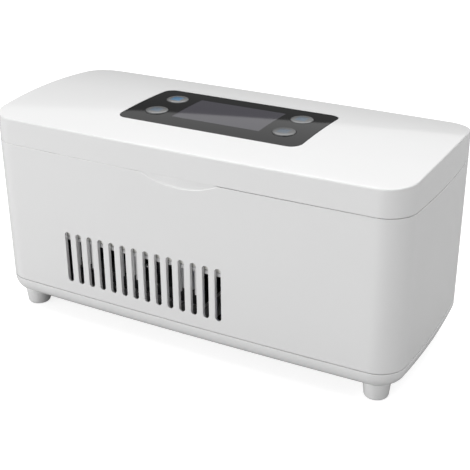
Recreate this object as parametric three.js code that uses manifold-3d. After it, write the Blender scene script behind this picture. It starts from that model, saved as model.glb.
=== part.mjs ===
// Insulin cooling case: a white bench-top cooler whose hinged lid holds a display and four keys,
// with an aluminium chamber for insulin pens over a thermoelectric cooling unit, a fan and a battery.
// Millimetres. X runs along the case, -Y faces the user and +Z is up. The feet stand on Z = 0.

import * as THREE from 'three';
import { mergeVertices } from 'three/addons/utils/BufferGeometryUtils.js';
import Module from 'manifold-3d';

const wasm = await Module();
wasm.setup();

// Case outline, with heights measured from the underside of the base tray
const caseLength = 205;
const caseDepth = 91;
const cornerRadius = 12;
const endBow = 2.2;
const frontBow = 1.2;
const bodyDraft = 0.6;
const wall = 2.4;
const baseHeight = 8;
const seamHeight = 77.8;
const lidHeight = 11.9;
const rimHeight = seamHeight + lidHeight;
const topArch = 2.7;
const bottomFilletDepth = 6;
const bottomFilletHeight = 7.2;
const innerFillet = 2.6;
const smallestRadius = 1;

// Gaps between pieces, and how far a cutting solid runs past the face that it cuts
const fit = 0.3;
const lidGap = 0.4;
const panelGap = 0.2;
const overrun = 5;

// Base tray and feet
const tongueThickness = 1.2;
const tongueHeight = 2.5;
const grilleSlotWidth = 3;
const grilleMargin = 8;
const grillePitch = 6;
const grilleCount = 9;
const footHeight = 8;
const footTopRadius = 6.1;
const footBottomRadius = 5.4;
const footEdge = 1;
const footEndInset = 13;
const footSideInset = 11.9;
const spigotRadius = 2.9;
const spigotHeight = 1.8;
const bossRadius = 3.6;
const bossRib = 1.6;

// Vent slots in the front wall, the first of them a way in from the left end
const ventCount = 14;
const ventPitch = 6.1;
const ventWidth = 2.9;
const ventFootRoom = 6.5;
const ventHeight = 25.3;
const ventBottom = baseHeight + ventFootRoom;
const ventTop = ventBottom + ventHeight;
const ventEndRoom = 42.65;

// Thumb scoop under the lid's front edge
const scoopCentre = 1.7;
const scoopHalfWidth = 17.5;
const scoopDrop = 6.4;
const scoopDepth = 1.6;

// Hinge
const knuckleRadius = 2.8;
const pinRadius = 1;
const hingeNotch = 0.4;
const hingeCentre = 55;
const lidKnuckleLength = 12;
const bodyKnuckleLength = 7;

// Chamber, its deck and its insulation
const chamberEndRoom = 17.5;
const chamberSideRoom = 16.5;
const chamberLength = caseLength - chamberEndRoom * 2;
const chamberWidth = caseDepth - chamberSideRoom * 2;
const chamberCorner = 6;
const trayThickness = 1;
const trayFlange = 4;
const deckDrop = 2;
const deckThickness = 2;
const ledgeWidth = 2;
const sensorRadius = 1.5;
const sensorLength = 8;
const sensorDrop = 6;

// Lid, liner, gasket and catch
const lidRoof = 3;
const linerRecess = 0.4;
const linerThickness = 1.8;
const plugMargin = 2;
const plugDepth = 2.5;
const gasketMargin = 2;
const gasketWidth = 3.2;
const lidBossInset = 12.8;
const lidBossRadius = 3.2;
const catchInset = 8.6;
const catchRadius = 3.6;
const magnetThickness = 1.6;
const strikeThickness = 0.8;

// Display panel, screen and keys
const panelLength = 90;
const panelDepth = 46;
const panelShift = 0.5;
const panelCorner = 5;
const windowThickness = 1.2;
const screenDepth = 26.8;
const screenShift = 0.6;
const screenDrop = 0.1;
const keyRadius = 5.15;
const keyFlange = 1.1;
const keyFlangeThickness = 1;
const keyProud = 0.4;
const keyBevel = 0.4;
const keyTravel = 0.6;
const keyEndRoom = 13;
const keySpread = panelLength / 2 - keyEndRoom;
const keyOffset = 9;
const screenRoom = 5.05;
const screenLength = (keySpread - keyRadius - screenRoom) * 2;
const boardThickness = 1.6;
const postRoom = 4.6;
const displayBoardEnd = 4.25;
const postX = keySpread + keyRadius + postRoom;
const displayBoardLength = (postX + displayBoardEnd) * 2;
const displayBoardDepth = 40;
const switchSide = 6;
const switchHeight = 2;
const postRadius = 2.2;
const pegRadius = 1.1;
const pegProud = 0.6;

// Cooling unit
const coolingX = -27;
const carrierThickness = 2;
const sinkRise = 4.6;
const sinkSideRoom = 13.5;
const sinkDepth = caseDepth - sinkSideRoom * 2;
const fanMargin = 2;
const fanSide = sinkDepth - fanMargin * 2;
const sinkLength = fanSide;
const blockEndMargin = 1;
const blockSideMargin = 8;
const coldBlockLength = sinkLength - blockEndMargin * 2;
const coldBlockDepth = chamberWidth - blockSideMargin * 2;
const coldBlockHeight = 9;
const peltierInset = 1;
const peltierSide = coldBlockDepth - peltierInset * 2;
const peltierThickness = 3.8;
const peltierPlate = 0.8;
const peltierMargin = 1;
const sinkBase = 4;
const finCount = 12;
const finThickness = 1.2;
const sinkScrewInset = 4;
const sinkScrewSpread = coldBlockLength / 2 - sinkScrewInset;
const bracketThickness = 2;
const hangerLength = 12.1;
const bracketRim = 3.4;
const hangerRadius = 3;
const hangerInset = 5.3;
const hangerMargin = 2.5;
const hangerSpread = fanSide / 2 - hangerMargin;
const middleHangerSpread = 2.8;
const fanHeight = 10;
const fanIntakeGap = 7.7;
const fanCorner = 3;
const fanRim = 1.4;
const fanBoreRadius = fanSide / 2 - fanRim;
const fanHoleInset = 5;
const fanHoleSpread = fanSide / 2 - fanHoleInset;
const fanHubRadius = 12.5;
const fanHubWall = 1.2;
const fanBasePlate = 1.5;
const fanStrutWidth = 3;
const statorRadius = 8.5;
const statorHeight = 5;
const fanShaftRadius = 1.5;
const bladeCount = 7;
const bladeThickness = 1.2;
const bladeChord = 9;
const bladePitch = THREE.MathUtils.degToRad(42);
const bladeTipGap = 0.9;

// Battery and main board
const cellRadius = 9.2;
const cellPitch = 18.8;
const cellNubRadius = 3;
const cellNub = 1;
const cellSideRoom = 7.5;
const cradleBossGap = 0.5;
const cradleBracketGap = 5.7;
const cradleFloor = 1;
const cradleHeight = 6.5;
const cradleWall = 2;
const cradleMargin = 0.8;
const stripThickness = 0.3;
const stripHeight = 8;
const mainBoardInset = 1.4;
const mainBoardFrontRoom = 12.5;
const mainBoardBackRoom = 6;
const mainBoardFront = caseDepth / 2 - mainBoardFrontRoom;
const mainBoardBack = caseDepth / 2 - mainBoardBackRoom;
const mainBoardDrop = 8.6;
const boardPostInset = 5;
const jackOffset = 11;
const jackWidth = 9;
const jackLength = 13;
const jackHeight = 7.8;
const jackNoseRadius = 3.7;
const jackNoseLength = 1.6;
const jackBoreRadius = 2.8;
const jackPinRadius = 1;
const jackBoreDepth = 9;
const chipHeight = 2.2;
const coilRadius = 5;
const coilHeight = 5;
const capRadius = 3.2;
const capHeight = 6.5;
const connectorHeight = 4;
const leadRadius = 0.8;
const leadSpread = 5;

// Screws: the shank of every screw is the same, and only the lengths differ
const screwRadius = 1.3;
const headRadius = 2.5;
const headHeight = 1.4;
const screwBite = 6;
const lidScrewBite = 3;

// How finely curves are divided
const cornerSteps = 4;
const longSideSteps = 4;
const shortSideSteps = 4;
const archSteps = 8;
const filletSteps = 3;
const arcSteps = 3;
const slotArcSteps = 2;
const smallSides = 8;
const roundSides = 12;
const boreSides = 20;
const leadSteps = 8;
const leadSides = 6;
const scoopSides = 72;
const scoopRows = 36;

// Heights that follow from the driving dimensions
const lidBottom = seamHeight + lidGap / 2;
const bodyTop = seamHeight - lidGap / 2;
const bodyBottom = baseHeight + fit;
const deckTop = seamHeight - deckDrop;
const deckBottom = deckTop - deckThickness;
const flangeTop = deckBottom - fit;
const flangeBottom = flangeTop - trayThickness;
const foamTop = flangeBottom - fit;
const fanBottom = wall + fanIntakeGap;
const fanTop = fanBottom + fanHeight;
const bracketBottom = fanTop + fit;
const bracketTop = bracketBottom + bracketThickness;
const finBottom = bracketTop + fit;
const carrierBottom = bracketTop + hangerLength;
const foamBottom = carrierBottom + carrierThickness + fit;
const sinkTop = carrierBottom + sinkRise;
const sinkBaseBottom = sinkTop - sinkBase;
const peltierBottom = sinkTop + fit;
const peltierTop = peltierBottom + peltierThickness;
const coldBlockBottom = peltierTop + fit;
const coldBlockTop = coldBlockBottom + coldBlockHeight;
const trayBottom = coldBlockTop + fit;
const bossTop = carrierBottom - fit;
const linerBottom = lidBottom + linerRecess;
const linerTop = linerBottom + linerThickness;
const keyFlangeTop = archHeight(panelDepth / 2) - lidRoof - fit;
const keyFlangeBottom = keyFlangeTop - keyFlangeThickness;
const switchTop = keyFlangeBottom - keyTravel - fit;
const displayBoardTop = switchTop - switchHeight;
const displayBoardBottom = displayBoardTop - boardThickness;
const mainBoardTop = carrierBottom - mainBoardDrop;
const mainBoardBottom = mainBoardTop - boardThickness;
const jackMiddle = mainBoardTop + fit + jackHeight / 2;
const cellHeight = wall + fit + cradleFloor + fit + cellRadius;
const hingeY = caseDepth / 2;

// Places that several pieces share
const fourCorners = [[-1, -1], [1, -1], [-1, 1], [1, 1]];
const footX = caseLength / 2 - footEndInset;
const footY = caseDepth / 2 - footSideInset;
const lidBossX = caseLength / 2 - lidBossInset;
const lidBossY = caseDepth / 2 - lidBossInset;
const catchY = -(caseDepth / 2 - catchInset);
const hangerY = caseDepth / 2 - bodyDraft - wall - hangerInset;
const hangerXs = [coolingX - hangerSpread, coolingX - middleHangerSpread, coolingX + hangerSpread];
const bracketLeft = hangerXs[0] - hangerRadius - bracketRim;
const bracketRight = hangerXs[2] + hangerRadius + bracketRim;

// The battery fills the room between the fan's bracket and the right-hand bosses
const cradleLeft = bracketRight + cradleBracketGap;
const cradleRight = footX - bossRadius - cradleBossGap;
const batteryX = (cradleLeft + cradleRight) / 2;
const stripX = (cradleRight - cradleLeft) / 2 - cradleWall - fit - stripThickness;
const cellLength = (stripX - fit - cellNub) * 2;
const cellCount = Math.floor((caseDepth - cellSideRoom * 2) / cellPitch);
const mainBoardLength = cradleRight - cradleLeft - mainBoardInset * 2;
const jackX = batteryX + jackOffset;
const boardPostX = mainBoardLength / 2 - boardPostInset;
const boardPostY = mainBoardFront - boardPostInset;
const keys = [
  { name: 'button_front_left', x: panelShift - keySpread, y: -keyOffset },
  { name: 'button_front_right', x: panelShift + keySpread, y: -keyOffset },
  { name: 'button_rear_left', x: panelShift - keySpread, y: keyOffset },
  { name: 'button_rear_right', x: panelShift + keySpread, y: keyOffset },
];

// Height of the lid's arched top above the base tray, at a place across the case
function archHeight(y) {
  return rimHeight + topArch * (1 - (y / (caseDepth / 2)) ** 2);
}

// How far the front and back walls have drawn in at a height, because the body tapers downwards
function draftAt(z) {
  return bodyDraft * Math.max(0, 1 - z / seamHeight);
}

// Turns a closed three.js geometry into a solid that can be joined and cut
function solid(geometry) {
  const plain = geometry.clone();
  plain.deleteAttribute('normal');
  plain.deleteAttribute('uv');
  const merged = mergeVertices(plain);
  const corners = merged.index.array;
  const kept = [];
  for (let i = 0; i < corners.length; i += 3) {
    const [a, b, c] = corners.slice(i, i + 3);
    if (a !== b && b !== c && c !== a) kept.push(a, b, c);
  }
  return new wasm.Manifold(new wasm.Mesh({
    numProp: 3,
    vertProperties: new Float32Array(merged.attributes.position.array),
    triVerts: new Uint32Array(kept),
  }));
}

// Joins a list of solids into one
function join(solids) {
  return solids.reduce((whole, piece) => whole.add(piece));
}

// Cuts a list of solids out of one
function cut(body, solids) {
  return solids.reduce((left, piece) => left.subtract(piece), body);
}

// A block between two corners
function block(low, high) {
  const size = high.map((value, i) => value - low[i]);
  const middle = high.map((value, i) => (value + low[i]) / 2);
  return solid(new THREE.BoxGeometry(...size)).translate(middle);
}

// A block that is centred across the case, about a place along it
function centredBlock(x, halfX, halfY, z0, z1) {
  return block([x - halfX, -halfY, z0], [x + halfX, halfY, z1]);
}

// An upright rod
function rod(radius, x, y, z0, z1, sides = smallSides) {
  const geometry = new THREE.CylinderGeometry(radius, radius, z1 - z0, sides);
  geometry.rotateX(Math.PI / 2);
  return solid(geometry).translate([x, y, (z0 + z1) / 2]);
}

// A hole for a screw, which runs past both heights
function screwHole(x, y, z0, z1, slack = fit) {
  return rod(screwRadius + slack, x, y, z0 - overrun, z1 + overrun);
}

// A rod lying along X
function rodAlongX(radius, x0, x1, y, z, sides = roundSides) {
  const geometry = new THREE.CylinderGeometry(radius, radius, x1 - x0, sides);
  geometry.rotateZ(Math.PI / 2);
  return solid(geometry).translate([(x0 + x1) / 2, y, z]);
}

// A rod lying along Y
function rodAlongY(radius, y0, y1, x, z, sides = roundSides) {
  const geometry = new THREE.CylinderGeometry(radius, radius, y1 - y0, sides);
  return solid(geometry).translate([x, (y0 + y1) / 2, z]);
}

// A round piece turned about the Z axis from a profile of radius and height pairs
function turned(profile, sides = smallSides) {
  const geometry = new THREE.LatheGeometry(profile.map(([r, z]) => new THREE.Vector2(r, z)), sides);
  geometry.rotateX(Math.PI / 2);
  return solid(geometry);
}

// A rectangle with round corners, centred on the origin
function roundedRectangle(width, height, radius) {
  const shape = new THREE.Shape();
  const x = width / 2 - radius;
  const y = height / 2 - radius;
  shape.absarc(x, y, radius, 0, Math.PI / 2);
  shape.absarc(-x, y, radius, Math.PI / 2, Math.PI);
  shape.absarc(-x, -y, radius, Math.PI, Math.PI * 3 / 2);
  shape.absarc(x, -y, radius, Math.PI * 3 / 2, Math.PI * 2);
  return shape;
}

// A plate of a given outline between two heights
function plate(shape, z0, z1, curveSegments = arcSteps) {
  const settings = { depth: z1 - z0, bevelEnabled: false, curveSegments };
  return solid(new THREE.ExtrudeGeometry(shape, settings)).translate([0, 0, z0]);
}

// The case's outline with round corners and bowed sides, drawn in by an inset at a height
function outline(inset, z) {
  const halfLength = caseLength / 2 - inset;
  const halfDepth = caseDepth / 2 - inset - draftAt(z);
  const radius = Math.max(cornerRadius - inset, smallestRadius);
  const points = [];
  [[1, 1], [-1, 1], [-1, -1], [1, -1]].forEach(([sideX, sideY], quarter) => {
    for (let step = 0; step <= cornerSteps; step += 1) {
      const angle = (quarter + step / cornerSteps) * Math.PI / 2;
      const x = sideX * (halfLength - radius) + radius * Math.cos(angle);
      const y = sideY * (halfDepth - radius) + radius * Math.sin(angle);
      points.push([x, y]);
    }
    const isLongSide = quarter % 2 === 0;
    const steps = isLongSide ? longSideSteps : shortSideSteps;
    for (let step = 1; step < steps; step += 1) {
      const along = 1 - 2 * step / steps;
      const x = isLongSide ? sideX * (halfLength - radius) * along : sideX * halfLength;
      const y = isLongSide ? sideY * halfDepth : sideY * (halfDepth - radius) * along;
      points.push([x, y]);
    }
  });
  return points.map(([x, y]) => [
    x - endBow * (x / halfLength) * (y / halfDepth) ** 2,
    y - frontBow * (y / halfDepth) * (x / halfLength) ** 2,
    z,
  ]);
}

// A solid through the case's outline at several heights, each given as an inset and a height
function loft(levels) {
  const rings = levels.map(([inset, z]) => outline(inset, z));
  const count = rings[0].length;
  const positions = rings.flat(2);
  positions.push(0, 0, levels[0][1], 0, 0, levels[levels.length - 1][1]);
  const bottomCentre = rings.length * count;
  const topCentre = bottomCentre + 1;
  const lastRing = bottomCentre - count;
  const triangles = [];
  for (let i = 0; i < count; i += 1) {
    const next = (i + 1) % count;
    triangles.push(bottomCentre, next, i);
    triangles.push(topCentre, lastRing + i, lastRing + next);
    for (let ring = 0; ring < lastRing; ring += count) {
      triangles.push(ring + i, ring + next, ring + count + next);
      triangles.push(ring + i, ring + count + next, ring + count + i);
    }
  }
  const geometry = new THREE.BufferGeometry();
  geometry.setAttribute('position', new THREE.Float32BufferAttribute(positions, 3));
  geometry.setIndex(triangles);
  return solid(geometry);
}

// A slab of the case's outline between two heights
function slab(inset, z0, z1) {
  return loft([[inset, z0], [inset, z1]]);
}

// Everything below the lid's arched top, lowered by a drop
function underArch(drop) {
  const reach = caseDepth / 2 + overrun;
  const shape = new THREE.Shape();
  shape.moveTo(-reach, 0);
  shape.lineTo(reach, 0);
  for (let step = archSteps; step >= 0; step -= 1) {
    const y = reach * (2 * step / archSteps - 1);
    shape.lineTo(y, archHeight(y) - drop);
  }
  const length = caseLength + overrun * 2;
  const geometry = new THREE.ExtrudeGeometry(shape, { depth: length, bevelEnabled: false });
  geometry.applyMatrix4(new THREE.Matrix4().set(0, 0, 1, -length / 2, 1, 0, 0, 0, 0, 1, 0, 0, 0, 0, 0, 1));
  return solid(geometry);
}

// A pan head screw that points up from its head's underside at the origin
function screw(length) {
  return turned([[0, -headHeight], [headRadius, -headHeight], [headRadius, 0], [screwRadius, 0],
    [screwRadius, length], [0, length]]);
}

// Knuckle spans along X, on the left and right of the case, as a start and an end
const lidKnuckles = [-1, 1].map((side) => [
  side * hingeCentre - lidKnuckleLength / 2,
  side * hingeCentre + lidKnuckleLength / 2,
]);
const bodyKnuckles = lidKnuckles.flatMap(([start, end]) => [
  [start - fit - bodyKnuckleLength, start - fit],
  [end + fit, end + fit + bodyKnuckleLength],
]);
const hingeRods = (spans, radius, margin) => spans.map(([start, end]) => (
  rodAlongX(radius, start - margin, end + margin, hingeY, seamHeight)
));
const pinBores = hingeRods(lidKnuckles, pinRadius + fit, fit + bodyKnuckleLength + fit);
const lidNotches = hingeRods(bodyKnuckles, knuckleRadius + hingeNotch, fit);
const bodyNotches = hingeRods(lidKnuckles, knuckleRadius + hingeNotch, fit);

// Colours and finishes
const whiteGloss = () => new THREE.MeshStandardMaterial({ color: 0xe4e4e6, roughness: 0.25, metalness: 0 });
const whiteSatin = () => new THREE.MeshStandardMaterial({ color: 0xd8d8da, roughness: 0.5, metalness: 0 });
const foam = () => new THREE.MeshStandardMaterial({ color: 0xcfcfcb, roughness: 0.9, metalness: 0 });
const blackPlastic = () => new THREE.MeshStandardMaterial({ color: 0x1c1c1e, roughness: 0.5 });
const blackGloss = () => new THREE.MeshStandardMaterial({ color: 0x333336, roughness: 0.1, metalness: 0 });
const silver = () => new THREE.MeshStandardMaterial({ color: 0xa6abb3, roughness: 0.3, metalness: 0.8 });
const aluminium = () => new THREE.MeshStandardMaterial({ color: 0xb4b6b9, roughness: 0.4, metalness: 0.9 });
const steel = () => new THREE.MeshStandardMaterial({ color: 0x8c8e92, roughness: 0.35, metalness: 1 });
const greenBoard = () => new THREE.MeshStandardMaterial({ color: 0x1f5a36, roughness: 0.5, metalness: 0 });
const screenGrey = () => new THREE.MeshStandardMaterial({ color: 0x63636a, roughness: 0.2, metalness: 0 });
const ceramic = () => new THREE.MeshStandardMaterial({ color: 0xe8e6df, roughness: 0.6, metalness: 0 });
const silicone = () => new THREE.MeshStandardMaterial({ color: 0x9a9a9c, roughness: 0.7, metalness: 0 });
const cellBlue = () => new THREE.MeshStandardMaterial({ color: 0x2a5da8, roughness: 0.4, metalness: 0 });
const redWire = () => new THREE.MeshStandardMaterial({ color: 0xb3261e, roughness: 0.5, metalness: 0 });

// The whole case stands on its feet, and its hinge knuckles are inside the centred outline
const assembly = new THREE.Group();
assembly.name = 'insulin_cooling_case';
const placed = new THREE.Group();
placed.position.set(0, -knuckleRadius / 2, footHeight);
assembly.add(placed);

// Adds a solid to the case as one named piece
function addPiece(name, body, material) {
  const { vertProperties, triVerts } = body.getMesh();
  const geometry = new THREE.BufferGeometry();
  geometry.setAttribute('position', new THREE.BufferAttribute(vertProperties, 3));
  geometry.setIndex(new THREE.BufferAttribute(triVerts, 1));
  geometry.computeVertexNormals();
  const mesh = new THREE.Mesh(geometry, material);
  mesh.name = name;
  placed.add(mesh);
}

// Base tray: a shallow dish with a rounded edge, a tongue that enters the body and an intake grille
function baseTray() {
  const outer = [];
  const inner = [];
  const tongueInset = wall + fit;
  const hollowInset = tongueInset + tongueThickness;
  for (let step = 0; step <= filletSteps; step += 1) {
    const angle = step / filletSteps * Math.PI / 2;
    const inward = 1 - Math.sin(angle);
    const upward = 1 - Math.cos(angle);
    outer.push([bottomFilletDepth * inward, bottomFilletHeight * upward]);
    inner.push([hollowInset + innerFillet * inward, wall + innerFillet * upward]);
  }
  outer.push([0, baseHeight]);
  inner.push([hollowInset, baseHeight + tongueHeight + overrun]);
  const tongue = slab(tongueInset, wall, baseHeight + tongueHeight);
  const grille = Array.from({ length: grilleCount }, (_, i) => {
    const x = coolingX + (i - (grilleCount - 1) / 2) * grillePitch;
    const slot = roundedRectangle(grilleSlotWidth, fanSide - grilleMargin * 2, grilleSlotWidth / 2);
    return plate(slot, -overrun, wall + overrun, slotArcSteps).translate([x, 0, 0]);
  });
  const spigotHoles = fourCorners.map(([sideX, sideY]) => (
    rod(spigotRadius + fit, sideX * footX, sideY * footY, -overrun, wall + overrun)
  ));
  return cut(loft(outer).add(tongue), [loft(inner), ...grille, ...spigotHoles]);
}
addPiece('base_tray', baseTray(), whiteGloss());

// Feet: short tapered posts, each with a spigot through the base tray and a screw up its middle
fourCorners.forEach(([sideX, sideY]) => {
  const place = `${sideY < 0 ? 'front' : 'rear'}_${sideX < 0 ? 'left' : 'right'}`;
  const spot = [sideX * footX, sideY * footY, 0];
  const post = turned([[0, -footHeight], [footBottomRadius - footEdge, -footHeight],
    [footBottomRadius, footEdge - footHeight], [footTopRadius, 0], [spigotRadius, 0],
    [spigotRadius, spigotHeight], [0, spigotHeight]], roundSides);
  const headSeat = -footHeight / 2;
  const counterbore = rod(headRadius + fit, 0, 0, -footHeight - overrun, headSeat);
  const bore = rod(screwRadius + fit, 0, 0, -footHeight, spigotHeight + overrun);
  addPiece(`foot_${place}`, cut(post, [counterbore, bore]).translate(spot), whiteGloss());
  const reach = wall + screwBite - headSeat;
  addPiece(`foot_screw_${place}`, screw(reach).translate([spot[0], spot[1], headSeat - fit]), steel());
});

// Body: four tapering walls with corner bosses, a ledge under the deck, vents, scoop and hinge knuckles
function scoopCutter() {
  const curve = (scoopHalfWidth ** 2 + scoopDrop ** 2) / (2 * scoopDrop);
  const above = curve - scoopDrop;
  const away = (scoopHalfWidth ** 2 - scoopDepth ** 2) / (2 * scoopDepth);
  const ball = solid(new THREE.SphereGeometry(Math.hypot(away, curve), scoopSides, scoopRows));
  return ball.translate([scoopCentre, -caseDepth / 2 - away, seamHeight + above]);
}

function vent(index) {
  const shape = roundedRectangle(ventWidth, ventTop - ventBottom, ventWidth / 2);
  const settings = { depth: overrun * 2, bevelEnabled: false, curveSegments: slotArcSteps };
  const geometry = new THREE.ExtrudeGeometry(shape, settings);
  geometry.rotateX(Math.PI / 2);
  const x = ventEndRoom - caseLength / 2 + index * ventPitch;
  return solid(geometry).translate([x, -caseDepth / 2 + overrun, (ventTop + ventBottom) / 2]);
}

function bodyShell() {
  const walls = slab(0, bodyBottom, bodyTop).subtract(slab(wall, bodyBottom - overrun, bodyTop + overrun));
  const ledge = slab(wall / 2, flangeBottom, flangeTop)
    .subtract(slab(wall + ledgeWidth, flangeBottom - overrun, flangeTop + overrun));
  const ribBottom = baseHeight + tongueHeight + fit;
  const reachX = footEndInset - wall / 2 - endBow;
  const reachY = footSideInset - wall / 2 - frontBow - bodyDraft;
  const bosses = fourCorners.flatMap(([sideX, sideY]) => {
    const ribAlongX = block([0, -bossRib / 2, ribBottom], [reachX, bossRib / 2, bossTop]);
    const ribAlongY = block([-bossRib / 2, 0, ribBottom], [bossRib / 2, reachY, bossTop]);
    const turn = [sideX, sideY, 1];
    const spot = [sideX * footX, sideY * footY, 0];
    return [
      rod(bossRadius, spot[0], spot[1], wall + fit, bossTop),
      ribAlongX.scale(turn).translate(spot),
      ribAlongY.scale(turn).translate(spot),
    ];
  });
  const screwHoles = fourCorners.map(([sideX, sideY]) => (
    screwHole(sideX * footX, sideY * footY, wall, wall + screwBite)
  ));
  const vents = Array.from({ length: ventCount }, (_, i) => vent(i));
  const jackHoleRadius = jackNoseRadius + fit;
  const jackHole = rodAlongY(jackHoleRadius, hingeY - wall * 2, hingeY + overrun, jackX, jackMiddle);
  const shell = cut(join([walls, ledge, ...bosses]), bodyNotches);
  const hinged = join([shell, ...hingeRods(bodyKnuckles, knuckleRadius, 0)]);
  return cut(hinged, [scoopCutter(), ...screwHoles, ...vents, jackHole, ...pinBores]);
}
addPiece('body_shell', bodyShell(), whiteGloss());

// Hinge pins through the body's and the lid's knuckles
['left', 'right'].forEach((side, i) => {
  const [start, end] = lidKnuckles[i];
  const reach = fit + bodyKnuckleLength;
  const pin = rodAlongX(pinRadius, start - reach, end + reach, hingeY, seamHeight, smallSides);
  addPiece(`hinge_pin_${side}`, pin, steel());
});

// Deck: the white frame that closes the body round the chamber mouth, with a steel disc for the catch
const mouth = roundedRectangle(chamberLength, chamberWidth, chamberCorner);
function chamberDeck() {
  const frame = slab(wall + fit, deckBottom, deckTop);
  const opening = plate(mouth, deckBottom - overrun, deckTop + overrun);
  const strikeSeat = rod(catchRadius + fit, 0, catchY, deckTop - strikeThickness - fit, deckTop + overrun);
  return cut(frame, [opening, strikeSeat, ...bodyNotches, ...lidNotches]);
}
addPiece('chamber_deck', chamberDeck(), whiteSatin());
addPiece('strike_plate', rod(catchRadius, 0, catchY, deckTop - strikeThickness, deckTop), steel());

// Chamber: a pressed aluminium trough that hangs by its flange under the deck
function chamberShape(margin) {
  return roundedRectangle(chamberLength + margin * 2, chamberWidth + margin * 2, chamberCorner + margin);
}
function chamberTray() {
  const outside = plate(chamberShape(trayThickness), trayBottom, flangeTop);
  const flange = plate(chamberShape(trayFlange), flangeBottom, flangeTop);
  return outside.add(flange).subtract(plate(mouth, trayBottom + trayThickness, flangeTop + overrun));
}
addPiece('chamber_tray', chamberTray(), aluminium());

// Insulation round the chamber, with a well for the cold block and a channel for the leads
const leadSlotReach = leadRadius * 3;
const leadDropX = coolingX + sinkLength / 2 + leadSlotReach * 2 + fit * 4;
const sensorX = -(chamberLength / 2 + trayThickness + fit + sensorRadius);
const sensorTop = foamTop - sensorDrop;
const sensorBottom = sensorTop - sensorLength;
function chamberInsulation() {
  const foamBlock = slab(wall + fit, foamBottom, foamTop);
  const pocket = plate(chamberShape(trayThickness + fit), trayBottom - fit, foamTop + overrun);
  const under = foamBottom - overrun;
  const wellX = coldBlockLength / 2 + fit;
  const wellY = coldBlockDepth / 2 + fit;
  const well = centredBlock(coolingX, wellX, wellY, under, coldBlockTop + overrun);
  const sinkX = sinkLength / 2 + fit;
  const sinkY = sinkDepth / 2 + fit;
  const sinkRoom = centredBlock(coolingX, sinkX, sinkY, under, sinkTop + fit);
  const channelX = leadDropX + leadSlotReach;
  const channelY = leadSpread + leadSlotReach;
  const channel = block([coolingX, -channelY, under], [channelX, channelY, peltierTop]);
  const sensorRoom = rod(sensorRadius + fit, sensorX, 0, sensorBottom - fit, foamTop + overrun);
  return cut(foamBlock, [pocket, well, sinkRoom, channel, sensorRoom]);
}
addPiece('chamber_insulation', chamberInsulation(), foam());
addPiece('temperature_sensor', rod(sensorRadius, sensorX, 0, sensorBottom, sensorTop), steel());

// Carrier: a white plate under the insulation, with posts that hang down for the bracket and the board
function carrierFrame() {
  const carrierTop = carrierBottom + carrierThickness;
  const frame = slab(wall + fit, carrierBottom, carrierTop);
  const hangers = hangerXs.flatMap((x) => [-hangerY, hangerY].map((y) => (
    rod(hangerRadius, x, y, bracketTop + fit, carrierTop - fit)
  )));
  const posts = fourCorners.map(([sideX, sideY]) => {
    const x = batteryX + sideX * boardPostX;
    return rod(hangerRadius, x, sideY * boardPostY, mainBoardTop + fit, carrierTop - fit);
  });
  const under = carrierBottom - overrun;
  const sinkX = sinkLength / 2 + fit * 2;
  const sinkY = sinkDepth / 2 + fit * 2;
  const window = centredBlock(coolingX, sinkX, sinkY, under, foamBottom);
  const leadSlot = centredBlock(leadDropX, leadSlotReach, leadSpread + leadSlotReach, under, foamBottom);
  const holes = [...bracketScrewSpots, ...boardScrewSpots].map(([x, y, z]) => (
    rod(screwRadius + fit, x, y, z - overrun, z + screwBite + fit)
  ));
  return cut(join([frame, ...hangers, ...posts]), [window, leadSlot, ...holes]);
}
const bracketScrewSpots = [[hangerXs[0], -hangerY, bracketTop], [hangerXs[2], hangerY, bracketTop]];
const boardScrewSpots = [
  [batteryX - boardPostX, -boardPostY, mainBoardTop],
  [batteryX + boardPostX, boardPostY, mainBoardTop],
];
addPiece('carrier_frame', carrierFrame(), whiteSatin());

// Cold block, thermoelectric element and finned sink, clamped together by two long screws
const sinkScrewSpots = [coolingX - sinkScrewSpread, coolingX + sinkScrewSpread];
function coldBlock() {
  const halfX = coldBlockLength / 2;
  const halfY = coldBlockDepth / 2;
  const body = centredBlock(coolingX, halfX, halfY, coldBlockBottom, coldBlockTop);
  const holes = sinkScrewSpots.map((spot) => (
    rod(screwRadius + fit, spot, 0, coldBlockBottom - overrun, coldBlockBottom + screwBite + fit)
  ));
  return cut(body, holes);
}
addPiece('cold_block', coldBlock(), aluminium());

function peltierModule() {
  const half = peltierSide / 2;
  const core = half - peltierMargin;
  const layer = (reach, z0, z1) => centredBlock(coolingX, reach, reach, z0, z1);
  return join([
    layer(half, peltierBottom, peltierBottom + peltierPlate),
    layer(core, peltierBottom + peltierPlate / 2, peltierTop - peltierPlate / 2),
    layer(half, peltierTop - peltierPlate, peltierTop),
  ]);
}
addPiece('peltier_module', peltierModule(), ceramic());

function heatSink() {
  const x = sinkLength / 2;
  const y = sinkDepth / 2;
  const body = centredBlock(coolingX, x, y, sinkBaseBottom, sinkTop);
  const finPitch = (sinkLength - finThickness) / (finCount - 1);
  const fins = Array.from({ length: finCount }, (_, i) => {
    const start = coolingX - x + i * finPitch;
    return block([start, -y, finBottom], [start + finThickness, y, sinkBaseBottom + sinkBase / 2]);
  });
  const headRoom = sinkScrewSpots.map((spot) => (
    rod(headRadius + fit * 2, spot, 0, finBottom - overrun, sinkBaseBottom)
  ));
  const holes = sinkScrewSpots.map((spot) => rod(screwRadius + fit, spot, 0, finBottom, sinkTop + overrun));
  return cut(join([body, ...fins]), [...headRoom, ...holes]);
}
addPiece('heat_sink', heatSink(), blackPlastic());
['left', 'right'].forEach((side, i) => {
  const seat = sinkBaseBottom - fit;
  const length = coldBlockBottom + screwBite - seat;
  addPiece(`sink_screw_${side}`, screw(length).translate([sinkScrewSpots[i], 0, seat]), steel());
});

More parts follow.
